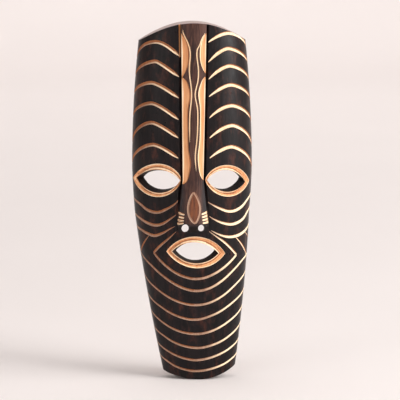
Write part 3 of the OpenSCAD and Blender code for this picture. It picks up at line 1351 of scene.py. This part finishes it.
@dataclass(frozen=True)
class NoseStain(Timber):
    """Brown stain of the ridge, black round the nose's sides and redder in the lens on the nose."""

    shadow: Colour = (0.012, 0.010, 0.012)
    nose_top: float = -0.186
    nose_foot: float = -0.243
    lens: Colour = shade(132, 76, 46)
    lens_at: tuple[float, float] = (-0.0006, -0.2237)
    lens_half: tuple[float, float] = (0.0085, 0.0225)
    lens_edge: float = 0.7
    lens_fibre: float = 0.002
    lens_share: tuple[float, float] = (0.3, 0.85)
    nose_x: float = -0.002
    black_from: float = 0.0125
    black_to: float = 0.019
    black_share: float = 0.9
    top_fade: float = 0.012
    foot_fade: float = 0.008
    ragged_size: float = 0.01
    ragged_by: float = 0.006

    def blackened(self, recipe: Recipe) -> bpy.types.NodeSocket:
        """Share of black over the nose's sides and below its tip.

        Args:
            recipe: Material that it is added to.

        Returns:
            The share.
        """
        centred = recipe.maths("ABSOLUTE", recipe.plus(recipe.axis("X"), -self.nose_x))
        ragged = recipe.plus(centred, recipe.times(recipe.cloud(recipe.where, self.ragged_size),
                                                   self.ragged_by))
        top = self.nose_top
        sides = recipe.times(recipe.step(ragged, self.black_from, self.black_to),
                             recipe.step(recipe.axis("Z"), top + self.top_fade, top - self.top_fade))
        foot = recipe.step(recipe.axis("Z"), self.nose_foot, self.nose_foot - self.foot_fade)
        return recipe.times(recipe.maths("MAXIMUM", sides, foot), self.black_share)

    def in_lens(self, recipe: Recipe) -> bpy.types.NodeSocket:
        """Share of the lens's own colour, streaked along the grain.

        Args:
            recipe: Material that it is added to.

        Returns:
            The share.
        """
        aside, above = (
            recipe.times(recipe.plus(recipe.axis(name), -at), 1 / half)
            for name, at, half in zip("XZ", self.lens_at, self.lens_half)
        )
        far = recipe.plus(recipe.maths("POWER", aside, 2.0), recipe.maths("POWER", above, 2.0))
        inside = recipe.step(far, 1.0, self.lens_edge)
        fibre = recipe.cloud(recipe.placed((1.0, 1.0, self.stretch)), self.lens_fibre, 4.0, 0.6)
        return recipe.times(inside, recipe.step(fibre, 0.4, 0.62, *self.lens_share))

    def build(self) -> bpy.types.Material:
        """Builds the stain with the nose's dark sides and the lens.

        Returns:
            The material.
        """
        recipe = Recipe(self.name)
        colour, rough, normal = self.base(recipe)
        colour = recipe.blend(self.blackened(recipe), colour, self.shadow)
        colour = recipe.blend(self.in_lens(recipe), colour, self.lens)
        return recipe.finish(colour, rough, normal, self.specular)


@dataclass(frozen=True)
class Metal:
    """Plain metal with fine scratches and dull spots."""

    name: str
    clean: Colour
    dull: Colour
    rough: tuple[float, float]
    scratch_deep: float = 0.00002
    scratch: float = 0.0006
    scratch_stretch: float = 6.0
    spot: float = 0.004

    def build(self) -> bpy.types.Material:
        """Builds the finish.

        Returns:
            The material.
        """
        recipe = Recipe(self.name)
        spots = recipe.cloud(recipe.where, self.spot, 4.0, 0.65)
        fine = recipe.cloud(recipe.placed((1.0, 1.0, self.scratch_stretch)), self.scratch, 2.0, 0.5)
        colour = recipe.blend(recipe.step(spots, 0.42, 0.66), self.clean, self.dull)
        rough = recipe.step(recipe.plus(spots, recipe.times(fine, 0.4)), 0.4, 0.95, *self.rough)
        normal = recipe.bump(fine, 0.5, self.scratch_deep)
        return recipe.finish(colour, rough, normal, 0.5, 1.0)


STAIN = Stain("black_stain", shade(26, 20, 22), shade(8, 6, 8), shade(48, 36, 34), 0.35,
              (0.27, 0.44), 0.2, rub=shade(98, 60, 40))
RIDGE = NoseStain("ridge_brown", shade(92, 60, 50), shade(42, 25, 23), shade(30, 18, 17), 0.6,
                  (0.42, 0.62), 0.3, streak=0.0024)
# Painted shade: a darker copy of the cut wood, for groove walls that face down, the middles of the coves
# and the left facets' inner edges.
PAINTED_SHADE = Timber("painted_shade_wood", shade(176, 116, 74), shade(150, 92, 56), shade(110, 66, 42), 0.4,
                (0.45, 0.65), 0.3, streak=0.003)
BARE = Timber("cut_wood", shade(238, 178, 128), shade(216, 146, 94), shade(172, 108, 64), 0.4,
              (0.45, 0.65), 0.35, streak=0.003)
BACK = Timber("back_wood", shade(168, 120, 86), shade(124, 84, 58), shade(84, 54, 38), 0.55,
              (0.55, 0.8), 0.3, streak=0.006)
HOLLOW = Timber("hollow_wood", shade(134, 90, 62), shade(92, 58, 40), shade(62, 38, 27), 0.5,
                (0.6, 0.85), 0.25, streak=0.006, scoop_size=0.02, scoop_deep=0.0022)
# Painted reflection: the crown's end face is near-black wood, made pale grey-pink to stand for the bright
# surroundings mirrored at a glancing view.
CROWN_REFLECTION = Timber("crown_reflection_wood", shade(176, 150, 144), shade(150, 122, 116), shade(104, 80, 76), 0.4,
               (0.28, 0.42), 0.5, streak=0.004)
# Dark wood of the holes, partly stain and partly painted shade, with the flared rims drawing a dark
# outline of painted shade.
BORE_SHADE = Timber("bore_shade_wood", shade(44, 32, 28), shade(22, 17, 17), shade(20, 15, 14), 0.4,
              (0.5, 0.7), 0.25, streak=0.004)
# Pale cut wood made paler as a painted highlight: lit lower walls of the grooves, the facets' outer lips,
# the right facets' inner edges, bands of the coves and the ridge's fine lines.
PALE_WOOD_HIGHLIGHT = Timber("pale_wood_highlight", shade(255, 236, 206), shade(246, 212, 170), shade(208, 156, 110), 0.35,
              (0.45, 0.62), 0.35, streak=0.003)
# Duller cut wood, partly painted shade, with a painted highlight towards the right or, over the brow,
# towards the ridge.
LINE_SHADE_TO_HIGHLIGHT = ShadeToHighlightLine("line_shade_to_highlight_wood", shade(190, 158, 136), shade(160, 124, 102), shade(112, 80, 60), 0.4,
                (0.45, 0.65), 0.3, streak=0.003)
# In the order of Cut.
WOOD_FINISHES = (STAIN, RIDGE, BARE, BACK, CROWN_REFLECTION, BORE_SHADE, PALE_WOOD_HIGHLIGHT, PAINTED_SHADE, HOLLOW, LINE_SHADE_TO_HIGHLIGHT)
STEEL = Metal("ring_plate", shade(206, 204, 200), shade(150, 146, 140), (0.2, 0.42))
SADDLE = Metal("saddle_plate", shade(190, 188, 184), shade(128, 122, 116), (0.28, 0.5))
BRASS = Metal("screw_plate", shade(214, 176, 104), shade(150, 112, 62), (0.24, 0.46))


@dataclass
class MaskBlock:
    """The carved block: face, ridge, gouge lines, openings, hollow and hanger pocket.

    Lengths are in millimetres until the block is settled, and chin_z is in metres.
    """

    face: Face
    chin_z: float
    wall: float = 10.5
    lead: float = 1.0
    weld: float = 0.0005
    ease: float = 1.3
    back_ease: float = 0.7
    back_mid: float = 250.0
    corner_x: float = 40.0
    corner_from: float = 215.0
    corner_to: float = 232.0
    crown_from: float = 400.0
    crown_slope: float = 0.7
    spine_columns: int = 5
    spine_least: float = 1.0
    facet_shares: tuple[float, ...] = (0.0, 0.15, 0.5, 0.82, 1.0)
    facet_full: float = 6.0
    facet_least: float = 0.4
    lip_least: float = 2.5
    trough_end: float = 0.92
    trough_spread: float = 1.08
    trough_curve: float = 0.8
    groove_lip: float = 0.5
    groove_run: float = 0.9
    line_least: float = 0.12
    panel_columns: int = 26
    row_step: float = 2.5
    end_rows: tuple[float, ...] = (0.0, 0.12, 0.45, 0.95, 1.6)
    brown_foot: float = 3.0
    # Height above which the left groove's outer wall gets a painted highlight.
    highlight_from: float = 456.0
    sharp: float = 27.0
    hinge_h: float = 455.0
    pocket: tuple[float, float, float] = (33.0, 8.11, 51.0)
    pocket_corner: float = 6.0
    hollow_foot: float = 22.0
    hollow_top: float = 419.5
    hollow_rows: int = 120
    hollow_columns: int = 56
    hollow_turn: float = 86.0
    hollow_power: int = 3
    past_back: float = 6.0
    scoop_tall: float = 21.0
    scoop_turn: float = 17.0
    scoop_stagger: float = 0.37
    scoop_deep: float = 1.0
    scoop_crisp: float = 2.2
    screw_off: float = 6.66
    pilot_width: float = 3.3
    pilot_deep: float = 15.8
    pilot_segments: int = 20
    nostril_widths: tuple[float, float] = (10.6, 9.2)
    nostril_gap: float = 22.0
    nostril_h: float = 217.5
    nostril_rise: float = 8.0
    nostril_reach: float = 63.0
    nostril_segments: int = 48
    levels: list[float] = field(default_factory=list)

    def __post_init__(self) -> None:
        """Lays out the rows of the face, closer together at both ends."""
        top = self.face.height
        first, last = self.row_step, top - self.row_step
        count = round((last - first) / self.row_step)
        inner = [mix(first, last, i / count) for i in range(count + 1)]
        self.levels = [*self.end_rows, *inner, *(top - row for row in reversed(self.end_rows))]

    def half_section(self, side: Side, level: float) -> list[tuple[float, float]]:
        """Columns of one side at a level.

        Args:
            side: Side of the mask.
            level: Height that the section is taken at.

        Returns:
            Distance from the middle and rise over the plain face, from the ridge outwards.
        """
        face = self.face
        ridge = LEFT_RIDGE if side is Side.LEFT else RIGHT_RIDGE
        half, mid = face.ridge_half(level), face.ridge_mid(level)
        rise, groove = face.ridge_rise(level), face.groove(level)
        facet = ridge.facet(level)
        line, strength = ridge.line(level)
        least = ridge.least
        facet_at = max(facet, least * len(self.facet_shares))
        line_half = max(ridge.line_width / 2 * strength, least)
        line_at = min(max(line, facet_at + line_half + least), half - self.spine_least)
        insets = [mix(half, line_at + line_half + least, i / self.spine_columns)
                  for i in range(self.spine_columns)]
        lower = [0.0] * self.spine_columns
        insets += [line_at + line_half, line_at, line_at - line_half]
        lower += [0.0, ridge.line_deep * strength, 0.0]
        full = min(1.0, facet / self.facet_full)
        for share in self.facet_shares:
            insets.append(mix(facet_at, 0.0, share))
            turn = math.pi * min(1.0, share * self.trough_spread)
            trough = math.sin(turn) ** self.trough_curve if share < self.trough_end else 0.0
            lower.append(full * (ridge.facet_deep * trough + ridge.lip_drop * share))
        found = []
        for inset, low in zip(insets, lower):
            off = mid + side * (half - inset)
            share = (half - inset) / half
            found.append((off, rise * face.section(share) - min(low, rise)))
        edge = side * mid + half
        found.append((side * (edge + face.groove_mid * face.groove_width), -groove))
        start = edge + face.groove_width
        found.append((side * start, -min(self.groove_lip, groove)))
        width = face.half_width(level)
        first = math.asin((start + self.groove_run) / width)
        for i in range(self.panel_columns + 1):
            angle = mix(first, math.pi / 2, i / self.panel_columns)
            found.append((side * width * math.sin(angle), 0.0))
        return found

    def side_finishes(self, side: Side, level: float) -> list[Cut]:
        """Finishes of one side at a level.

        Args:
            side: Side of the mask.
            level: Height in the middle of the row of faces.

        Returns:
            The finish of each strip of faces, from the ridge outwards.
        """
        ridge = LEFT_RIDGE if side is Side.LEFT else RIGHT_RIDGE
        _, strength = ridge.line(level)
        facet = ridge.facet(level)
        plain = Cut.RIDGE if level > self.face.tip_at - self.brown_foot else Cut.STAIN
        line = Cut.PALE_WOOD_HIGHLIGHT if strength > self.line_least else plain
        flat = Cut.BARE if facet > self.facet_least else plain
        strips = [plain] * self.spine_columns + [line, line, plain]
        # The facet's outer lip gets a painted highlight; its inner edge gets painted shade on the left and
        # a painted highlight on the right.
        lip = Cut.PALE_WOOD_HIGHLIGHT if facet > self.lip_least else flat
        first = Cut.PAINTED_SHADE if side is Side.LEFT else Cut.PALE_WOOD_HIGHLIGHT
        strips.append(first if facet > self.lip_least else flat)
        strips += [flat] * (len(self.facet_shares) - 3)
        strips.append(lip)
        # Painted highlight on the left groove's outer wall near the crown, where the eased panel edge
        # would catch the light.
        wear_and_highlight = Cut.BARE if side is Side.LEFT and level > self.highlight_from else Cut.STAIN
        return strips + [Cut.STAIN, wear_and_highlight] + [Cut.STAIN] * (self.panel_columns + 1)

    def rounded(self, distance: float) -> float:
        """How far the surface falls back near an eased edge.

        Args:
            distance: Distance from the edge.

        Returns:
            The fall.
        """
        if distance >= self.ease:
            return 0.0
        short = self.ease - distance
        return self.ease - math.sqrt(max(0.0, self.ease**2 - short**2))

    def block_mesh(self) -> bmesh.types.BMesh:
        """The uncut block: the face as a fine grid, its edges and its flat back.

        Returns:
            The closed block.
        """
        face = self.face
        sections: list[list[tuple[float, float]]] = []
        finishes: list[list[Cut]] = []
        for level in self.levels:
            left = self.half_section(Side.LEFT, level)
            right = self.half_section(Side.RIGHT, level)
            sections.append(left[:0:-1] + right)
        for low, high in zip(self.levels, self.levels[1:]):
            mid = (low + high) / 2
            finishes.append(self.side_finishes(Side.LEFT, mid)[::-1] + self.side_finishes(Side.RIGHT, mid))
        columns = len(sections[0])
        centre = columns // 2
        ridge_columns = self.spine_columns + 3 + len(self.facet_shares) + 1

        def place(column: int, row: int) -> Vector:
            """Corner at a column and a row of the sheet."""
            level = self.levels[row]
            off, rise = sections[row][column]
            share = off / face.half_width(level)
            h = mix(face.chin_edge(share), face.crown_edge(share), level / face.height)
            out = off if abs(column - centre) <= ridge_columns else share * face.half_width(h)
            back = self.rounded(level) + self.rounded(face.height - level)
            return Vector((face.middle(h) + out, face.front(out, h) - rise + back, h))

        bm = sheet_of(columns, len(self.levels), place)
        bm.faces.ensure_lookup_table()
        for index, bm_face in enumerate(bm.faces):
            row, column = divmod(index, columns - 1)
            bm_face.material_index = finishes[row][column]
        self.close_back(bm)
        return bm

    def close_back(self, bm: bmesh.types.BMesh) -> None:
        """Carries the face's edges to the back, eases them and fills the flat back.

        Args:
            bm: The face, which is changed in place.
        """
        for plane, inset, finish in ((-self.back_ease, 0.0, Cut.STAIN), (0.0, self.back_ease, Cut.BACK)):
            rim = [e for e in bm.edges if e.is_boundary]
            made = bmesh.ops.extrude_edge_only(bm, edges=rim)["geom"]
            for part in made:
                if isinstance(part, bmesh.types.BMVert):
                    part.co.y = plane
                    if inset:
                        aside, above = part.co.x, part.co.z - self.back_mid
                        near_end = part_way(abs(above), self.corner_from, self.corner_to)
                        part.co.x -= math.copysign(inset, aside) * min(1.0, abs(aside) / self.corner_x)
                        part.co.z -= math.copysign(inset, above) * near_end
                elif isinstance(part, bmesh.types.BMFace):
                    part.material_index = finish
            bm.normal_update()
            for part in made:
                # End faces near the crown that look up get the crown's painted reflection.
                if isinstance(part, bmesh.types.BMFace) and finish is Cut.STAIN:
                    height = part.calc_center_median().z
                    if abs(part.normal.z) > self.crown_slope and height > self.crown_from:
                        part.material_index = Cut.CROWN_REFLECTION
        rim = [e for e in bm.edges if e.is_boundary]
        for part in bmesh.ops.edgeloop_fill(bm, edges=rim)["faces"]:
            part.material_index = Cut.BACK
        bmesh.ops.recalc_face_normals(bm, faces=bm.faces)

    def hollow_tool(self) -> bmesh.types.BMesh:
        """Space carved out from behind, in shallow scoops.

        Returns:
            The closed solid.
        """
        face = self.face
        mid = (self.hollow_top + self.hollow_foot) / 2
        half = (self.hollow_top - self.hollow_foot) / 2
        ring = self.hollow_columns + 3

        def place(column: int, row: int) -> Vector:
            """Corner at a column and a row of the sheet."""
            k = column % ring - 1
            tip = self.hollow_turn
            s = math.sin(math.radians(mix(-tip, tip, row / (self.hollow_rows - 1))))
            turn = mix(-90.0, 90.0, part_way(k, 0, self.hollow_columns))
            h = mid + half * s
            size = math.sqrt(1 - abs(s) ** self.hollow_power)
            course = math.floor(h / self.scoop_tall)
            up = abs(math.cos(math.pi * (h / self.scoop_tall - course + 0.5)))
            aside = abs(math.sin(math.pi * (turn / self.scoop_turn + course * self.scoop_stagger)))
            cut = min(1.0, self.scoop_crisp * up) * min(1.0, self.scoop_crisp * aside)
            less = self.scoop_deep * (1 - cut)
            across = (face.half_width(h) - self.wall - less) * size
            deep = (face.depth(h) - self.wall - less) * size
            point = Vector((face.middle(h) + across * math.sin(math.radians(turn)),
                            -deep * math.cos(math.radians(turn)), h))
            if k < 0 or k > self.hollow_columns:
                point.y = self.past_back
            return point

        return close_up(sheet_of(ring + 1, self.hollow_rows, place), Cut.HOLLOW)

    def pocket_tool(self) -> bmesh.types.BMesh:
        """Round-cornered box that cuts the hanger's pocket.

        Returns:
            The closed solid.
        """
        width, deep, tall = self.pocket
        bm = bmesh.new()
        bmesh.ops.create_cube(bm, size=1.0)
        bmesh.ops.scale(bm, vec=(width, deep + 2 * self.lead, tall), verts=bm.verts)
        bmesh.ops.translate(bm, vec=(0, self.lead - deep / 2, self.hinge_h), verts=bm.verts)
        upright = [e for e in bm.edges if abs(e.verts[0].co.y - e.verts[1].co.y) > deep / 2]
        bmesh.ops.bevel(bm, geom=upright, offset=self.pocket_corner, segments=8, profile=0.5,
                        affect="EDGES", material=-1)
        bmesh.ops.recalc_face_normals(bm, faces=bm.faces)
        for bm_face in bm.faces:
            bm_face.material_index = Cut.BACK
        return bm

    def nostrils(self) -> list[bmesh.types.BMesh]:
        """Bars for the two nostrils, which rise towards the front.

        Returns:
            The two closed bars.
        """
        mid = self.face.ridge_mid(self.nostril_h) + self.face.middle(self.nostril_h)
        front = self.face.front(0.0, self.nostril_h)
        found = []
        for side, width in zip((-1, 1), self.nostril_widths):
            at = Vector((mid + side * self.nostril_gap / 2, front, self.nostril_h))
            found.append(self.bore_tool(width, at, self.nostril_reach, self.nostril_segments,
                                        self.nostril_rise))
        return found

    def pilots(self) -> list[bmesh.types.BMesh]:
        """Bars for the screws' pilot holes in the pocket's floor.

        Returns:
            The two closed bars.
        """
        length = self.pilot_deep + self.lead
        y = self.lead - self.pocket[1] - length / 2
        return [
            self.bore_tool(self.pilot_width, Vector((0, y, self.hinge_h + side * self.screw_off)),
                           length, self.pilot_segments)
            for side in (-1, 1)
        ]

    def bore_tool(self, width: float, at: Vector, length: float, segments: int,
                  rise: float = 0.0) -> bmesh.types.BMesh:
        """Round bar that runs from front to back.

        Args:
            width: Its width.
            at: Its middle.
            length: Its length.
            segments: Number of flats round it.
            rise: Degrees that it is turned up towards the front.

        Returns:
            The closed bar.
        """
        bm = bmesh.new()
        bmesh.ops.create_cone(bm, cap_ends=True, segments=segments, radius1=width / 2,
                              radius2=width / 2, depth=length)
        bmesh.ops.rotate(bm, matrix=Matrix.Rotation(math.radians(90 - rise), 3, "X"), verts=bm.verts)
        bmesh.ops.translate(bm, vec=at, verts=bm.verts)
        for bm_face in bm.faces:
            bm_face.material_index = Cut.BORE_SHADE
        return bm

    def panel_line(self, stations: Sequence[Station], gouge: Gouge) -> bmesh.types.BMesh:
        """Cutting bar for a line over the plain face."""
        return gouge_tool([self.face.panel_spot(turn, h) for turn, h in stations], gouge)

    def nose_line(self, stations: Sequence[Station], gouge: Gouge) -> bmesh.types.BMesh:
        """Cutting bar for a line over the nose, given by x and height."""
        return gouge_tool([self.face.skin_spot(x, h) for x, h in stations], gouge)

    def arches(self) -> list[bmesh.types.BMesh]:
        """Bars for the arches over both eyes."""
        return [self.panel_line(arch.stations(), LEFT_ARCH if arch.crest_turn < 0 else RIGHT_ARCH)
                for arch in ARCHES]

    def panel_lines(self, lines: Sequence[Sequence[Station]], gouge: Gouge) -> list[bmesh.types.BMesh]:
        """Cutting bars for several lines that share one gouge."""
        return [self.panel_line(through(line), gouge) for line in lines]

    def chin(self) -> list[bmesh.types.BMesh]:
        """Bars for the curves under the mouth and the bowl round it."""
        return self.panel_lines(CHIN, CHIN_CUT) + self.panel_lines([MOUTH_BOWL], BOWL_CUT)

    def straps(self) -> list[bmesh.types.BMesh]:
        """Bars for the short lines beside the mouth."""
        return self.panel_lines(MOUTH_ARMS, ARM_CUT) + self.panel_lines(CHEEK_STRAPS, STRAP_CUT)

    def nicks(self) -> list[bmesh.types.BMesh]:
        """Bars for the short nicks on the nose's wings."""
        return [self.nose_line(nick.stations(), NICK_CUT) for nick in NICKS]

    def build(self) -> bpy.types.Object:
        """Carves the block in the frame of the wall hook.

        Returns:
            The finished block.
        """
        mesh = bpy.data.meshes.new("mask_block")
        bm = self.block_mesh()
        bm.to_mesh(mesh)
        bm.free()
        for finish in WOOD_FINISHES:
            mesh.materials.append(finish.build())
        block = bpy.data.objects.new("mask_block", mesh)
        bpy.context.scene.collection.objects.link(block)
        face = self.face
        left_lens, right_lens = (self.nose_line(through(line), LENS_CUT) for line in NOSE_LENS)
        carve(block, "arches", [*self.arches(), left_lens])
        carve(block, "cheeks", [*self.panel_lines(CHEEKS, CHEEK_CUT), right_lens])
        carve(block, "chin", self.chin())
        carve(block, "straps", self.straps())
        carve(block, "jaw", self.panel_lines([JAW_LINE], JAW_CUT))
        carve(block, "nicks", self.nicks())
        carve(block, "coves", [opening.cove_tool(face) for opening in OPENINGS])
        carve(block, "hollow", [self.hollow_tool(), self.pocket_tool()])
        carve(block, "bores", [opening.hole_tool(face) for opening in OPENINGS] + self.nostrils())
        carve(block, "pilots", self.pilots())
        self.settle(block)
        return block

    def settle(self, block: bpy.types.Object) -> None:
        """Marks sharp edges, smooths the rest and lowers the block to the hook's frame.

        Args:
            block: The carved block, which is changed in place.
        """
        bm = bmesh.new()
        bm.from_mesh(block.data)
        bmesh.ops.dissolve_degenerate(bm, edges=bm.edges, dist=self.weld)
        limit = math.radians(self.sharp)
        for edge in bm.edges:
            if len(edge.link_faces) == 2:
                a, b = edge.link_faces
                same = a.material_index == b.material_index
                bent = edge.calc_face_angle(0.0)
                edge.smooth = bent < (limit if same else limit / 2)
        for bm_face in bm.faces:
            bm_face.smooth = True
        bmesh.ops.scale(bm, vec=(MM, MM, MM), verts=bm.verts)
        bmesh.ops.translate(bm, vec=(0, 0, self.chin_z), verts=bm.verts)
        bm.to_mesh(block.data)
        log.info("block: %d faces, open edges %d", len(bm.faces),
                 sum(1 for e in bm.edges if len(e.link_faces) != 2))
        bm.free()


@dataclass
class Fitting:
    """A small metal piece: the CAD solid's shape with eased edges and smooth rounds."""

    name: str
    node: str
    body: str
    finish: Metal
    ease: float = 0.00012
    sharp: float = 35.0
    weld: float = 1e-6
    flat: float = 0.4

    def build(self) -> bpy.types.Object:
        """Makes the piece from its CAD solid.

        Returns:
            The finished piece.
        """
        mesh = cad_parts[self.node].data.copy()
        bm = bmesh.new()
        bm.from_mesh(mesh)
        bmesh.ops.remove_doubles(bm, verts=bm.verts, dist=self.weld)
        bmesh.ops.dissolve_limit(bm, angle_limit=math.radians(self.flat), verts=bm.verts, edges=bm.edges)
        limit = math.radians(self.sharp)
        for edge in bm.edges:
            edge.smooth = edge.calc_face_angle(0.0) < limit
        for bm_face in bm.faces:
            bm_face.smooth = True
            bm_face.material_index = 0
        bm.to_mesh(mesh)
        bm.free()
        mesh.materials.clear()
        mesh.materials.append(self.finish.build())
        made = bpy.data.objects.new(self.name, mesh)
        bpy.context.scene.collection.objects.link(made)
        soften = made.modifiers.new("eased_edges", "BEVEL")
        soften.width = self.ease
        soften.segments = 2
        soften.limit_method = "ANGLE"
        soften.angle_limit = limit
        soften.harden_normals = True
        return made

    def dress(self, slot: str) -> bpy.types.Object:
        """Builds the piece and ties it to its CAD node and body.

        Args:
            slot: Material slot of the CAD node; not used.

        Returns:
            The finished piece.
        """
        made = self.build()
        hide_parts(self.node)
        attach(made, self.body)
        return made


@dataclass(frozen=True)
class Lamp:
    """Soft square light, which faces the mask unless it has a target of its own."""

    name: str
    at: tuple[float, float, float]
    size: float
    power: float
    tint: Colour = (1.0, 0.985, 0.97)
    target: tuple[float, float, float] | None = None

    def hang(self, aim: Vector) -> None:
        """Puts the light in the scene.

        Args:
            aim: Middle of the mask.
        """
        lamp = bpy.data.lights.new(self.name, "AREA")
        lamp.shape = "SQUARE"
        lamp.size = self.size
        lamp.energy = self.power
        lamp.color = self.tint
        made = bpy.data.objects.new(self.name, lamp)
        made.location = self.at
        to = Vector(self.target) if self.target else aim
        made.rotation_euler = (to - Vector(self.at)).to_track_quat("-Z", "Y").to_euler()
        bpy.context.scene.collection.objects.link(made)


LAMPS = (
    Lamp("key", (3.8, -1.9, 2.6), 3.2, 180.0),
    Lamp("sheen", (3.8, -2.1, 0.7), 1.1, 75.0),
    Lamp("fill", (-3.4, -3.0, 1.2), 2.4, 34.0),
    Lamp("top", (-0.3, -0.3, 4.2), 3.6, 52.0, (1.0, 0.985, 0.975)),
    Lamp("wall", (0.3, 3.6, 3.4), 3.0, 62.0, (1.0, 0.985, 0.975), (0.3, 6.4, 0.8)),
)


@dataclass
class Studio:
    """Pale seamless floor and backdrop, soft lights and the camera."""

    floor_z: float
    aim: Vector
    lens: float = 226.8
    distance: float = 3.5
    azimuth: float = -3.4
    elevation: float = 8.0
    floor_radius: float = 4.8
    bend_radius: float = 1.6
    wall_height: float = 2.6
    floor_shares: tuple[float, ...] = (0.0, 0.1, 0.4, 1.0)
    bends: int = 16
    turns: int = 96
    weld: float = 1e-5
    sensor: float = 36.0
    off_middle: tuple[float, float] = (0.00986, 0.0027)
    clip: tuple[float, float] = (0.1, 50.0)
    sky: Colour = (1.0, 0.968, 0.955)
    sky_strength: float = 0.29

    def backdrop(self) -> bpy.types.Object:
        """Round floor that curves up into a wall on every side.

        Returns:
            The staged backdrop.
        """
        bm = bmesh.new()
        profile = [Vector((self.floor_radius * q, 0, self.floor_z)) for q in self.floor_shares]
        for i in range(1, self.bends + 1):
            angle = math.pi / 2 * i / self.bends
            profile.append(Vector((self.floor_radius + self.bend_radius * math.sin(angle), 0,
                                   self.floor_z + self.bend_radius * (1 - math.cos(angle)))))
        profile.append(profile[-1] + Vector((0, 0, self.wall_height)))
        corners = [bm.verts.new(point) for point in profile]
        edges = [bm.edges.new(pair) for pair in zip(corners, corners[1:])]
        bmesh.ops.spin(bm, geom=corners + edges, cent=(0, 0, 0), axis=(0, 0, 1), angle=2 * math.pi,
                       steps=self.turns, use_merge=True)
        bmesh.ops.remove_doubles(bm, verts=bm.verts, dist=self.weld)
        bmesh.ops.recalc_face_normals(bm, faces=bm.faces)
        mesh = bpy.data.meshes.new("backdrop")
        for bm_face in bm.faces:
            bm_face.smooth = True
        bm.to_mesh(mesh)
        bm.free()
        recipe = Recipe("backdrop_paper")
        tone = recipe.cloud(recipe.where, 0.6, 2.0)
        colour = recipe.blend(tone, shade(237, 231, 229), shade(241, 235, 233))
        mesh.materials.append(recipe.finish(colour, 0.9, None, 0.1))
        made = bpy.data.objects.new("backdrop", mesh)
        bpy.context.scene.collection.objects.link(made)
        return made

    def lights(self) -> None:
        """Hangs the lamps, sets the pale surroundings and plain colours."""
        for lamp in LAMPS:
            lamp.hang(self.aim)
        world = bpy.data.worlds.new("surroundings")
        world.use_nodes = True
        sky = world.node_tree.nodes["Background"]
        sky.inputs["Color"].default_value = (*self.sky, 1.0)
        sky.inputs["Strength"].default_value = self.sky_strength
        bpy.context.scene.world = world
        bpy.context.scene.view_settings.view_transform = "Standard"

    def camera(self) -> None:
        """Camera on the left of the middle and a little above it."""
        turn, lift = math.radians(self.azimuth), math.radians(self.elevation)
        back = Vector((math.sin(turn) * math.cos(lift), -math.cos(turn) * math.cos(lift), math.sin(lift)))
        eye = bpy.data.cameras.new("camera")
        eye.lens = self.lens
        eye.sensor_width = self.sensor
        eye.clip_start, eye.clip_end = self.clip
        made = bpy.data.objects.new("camera", eye)
        look = (-back).to_track_quat("-Z", "Y")
        aim = self.aim + look @ Vector((*self.off_middle, 0.0))
        made.location = aim + back * self.distance
        made.rotation_euler = look.to_euler()
        bpy.context.scene.collection.objects.link(made)
        bpy.context.scene.camera = made


def main() -> None:
    """Builds the studio, the block and its fittings."""
    logging.basicConfig(level=logging.INFO, format="%(message)s")
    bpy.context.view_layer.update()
    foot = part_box(BLOCK_NODE)[0].z
    face = Face()
    studio = Studio(floor_z=foot - FLOOR_GAP, aim=Vector((0.0, AIM_Y, foot + face.height * MM / 2)))
    studio.camera()
    studio.backdrop()
    studio.lights()
    block = MaskBlock(face, chin_z=foot).build()
    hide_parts(BLOCK_NODE)
    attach(block, MASK_BODY)
    log.info("%s stands for %s", block.name, BLOCK_NODE)
    for fitting, slot in (
        (Fitting("ring_wire", "hanger_ring", RING_BODY, STEEL), "ring_steel"),
        (Fitting("saddle_strap", "hanger_saddle", MASK_BODY, SADDLE), "saddle_steel"),
        (Fitting("screw_top", "screw_upper", MASK_BODY, BRASS), "screw_brass"),
        (Fitting("screw_foot", "screw_lower", MASK_BODY, BRASS), "screw_brass"),
    ):
        made = fitting.dress(slot)
        log.info("%s stands for %s", made.name, fitting.node)


if __name__ == "__main__":
    main()
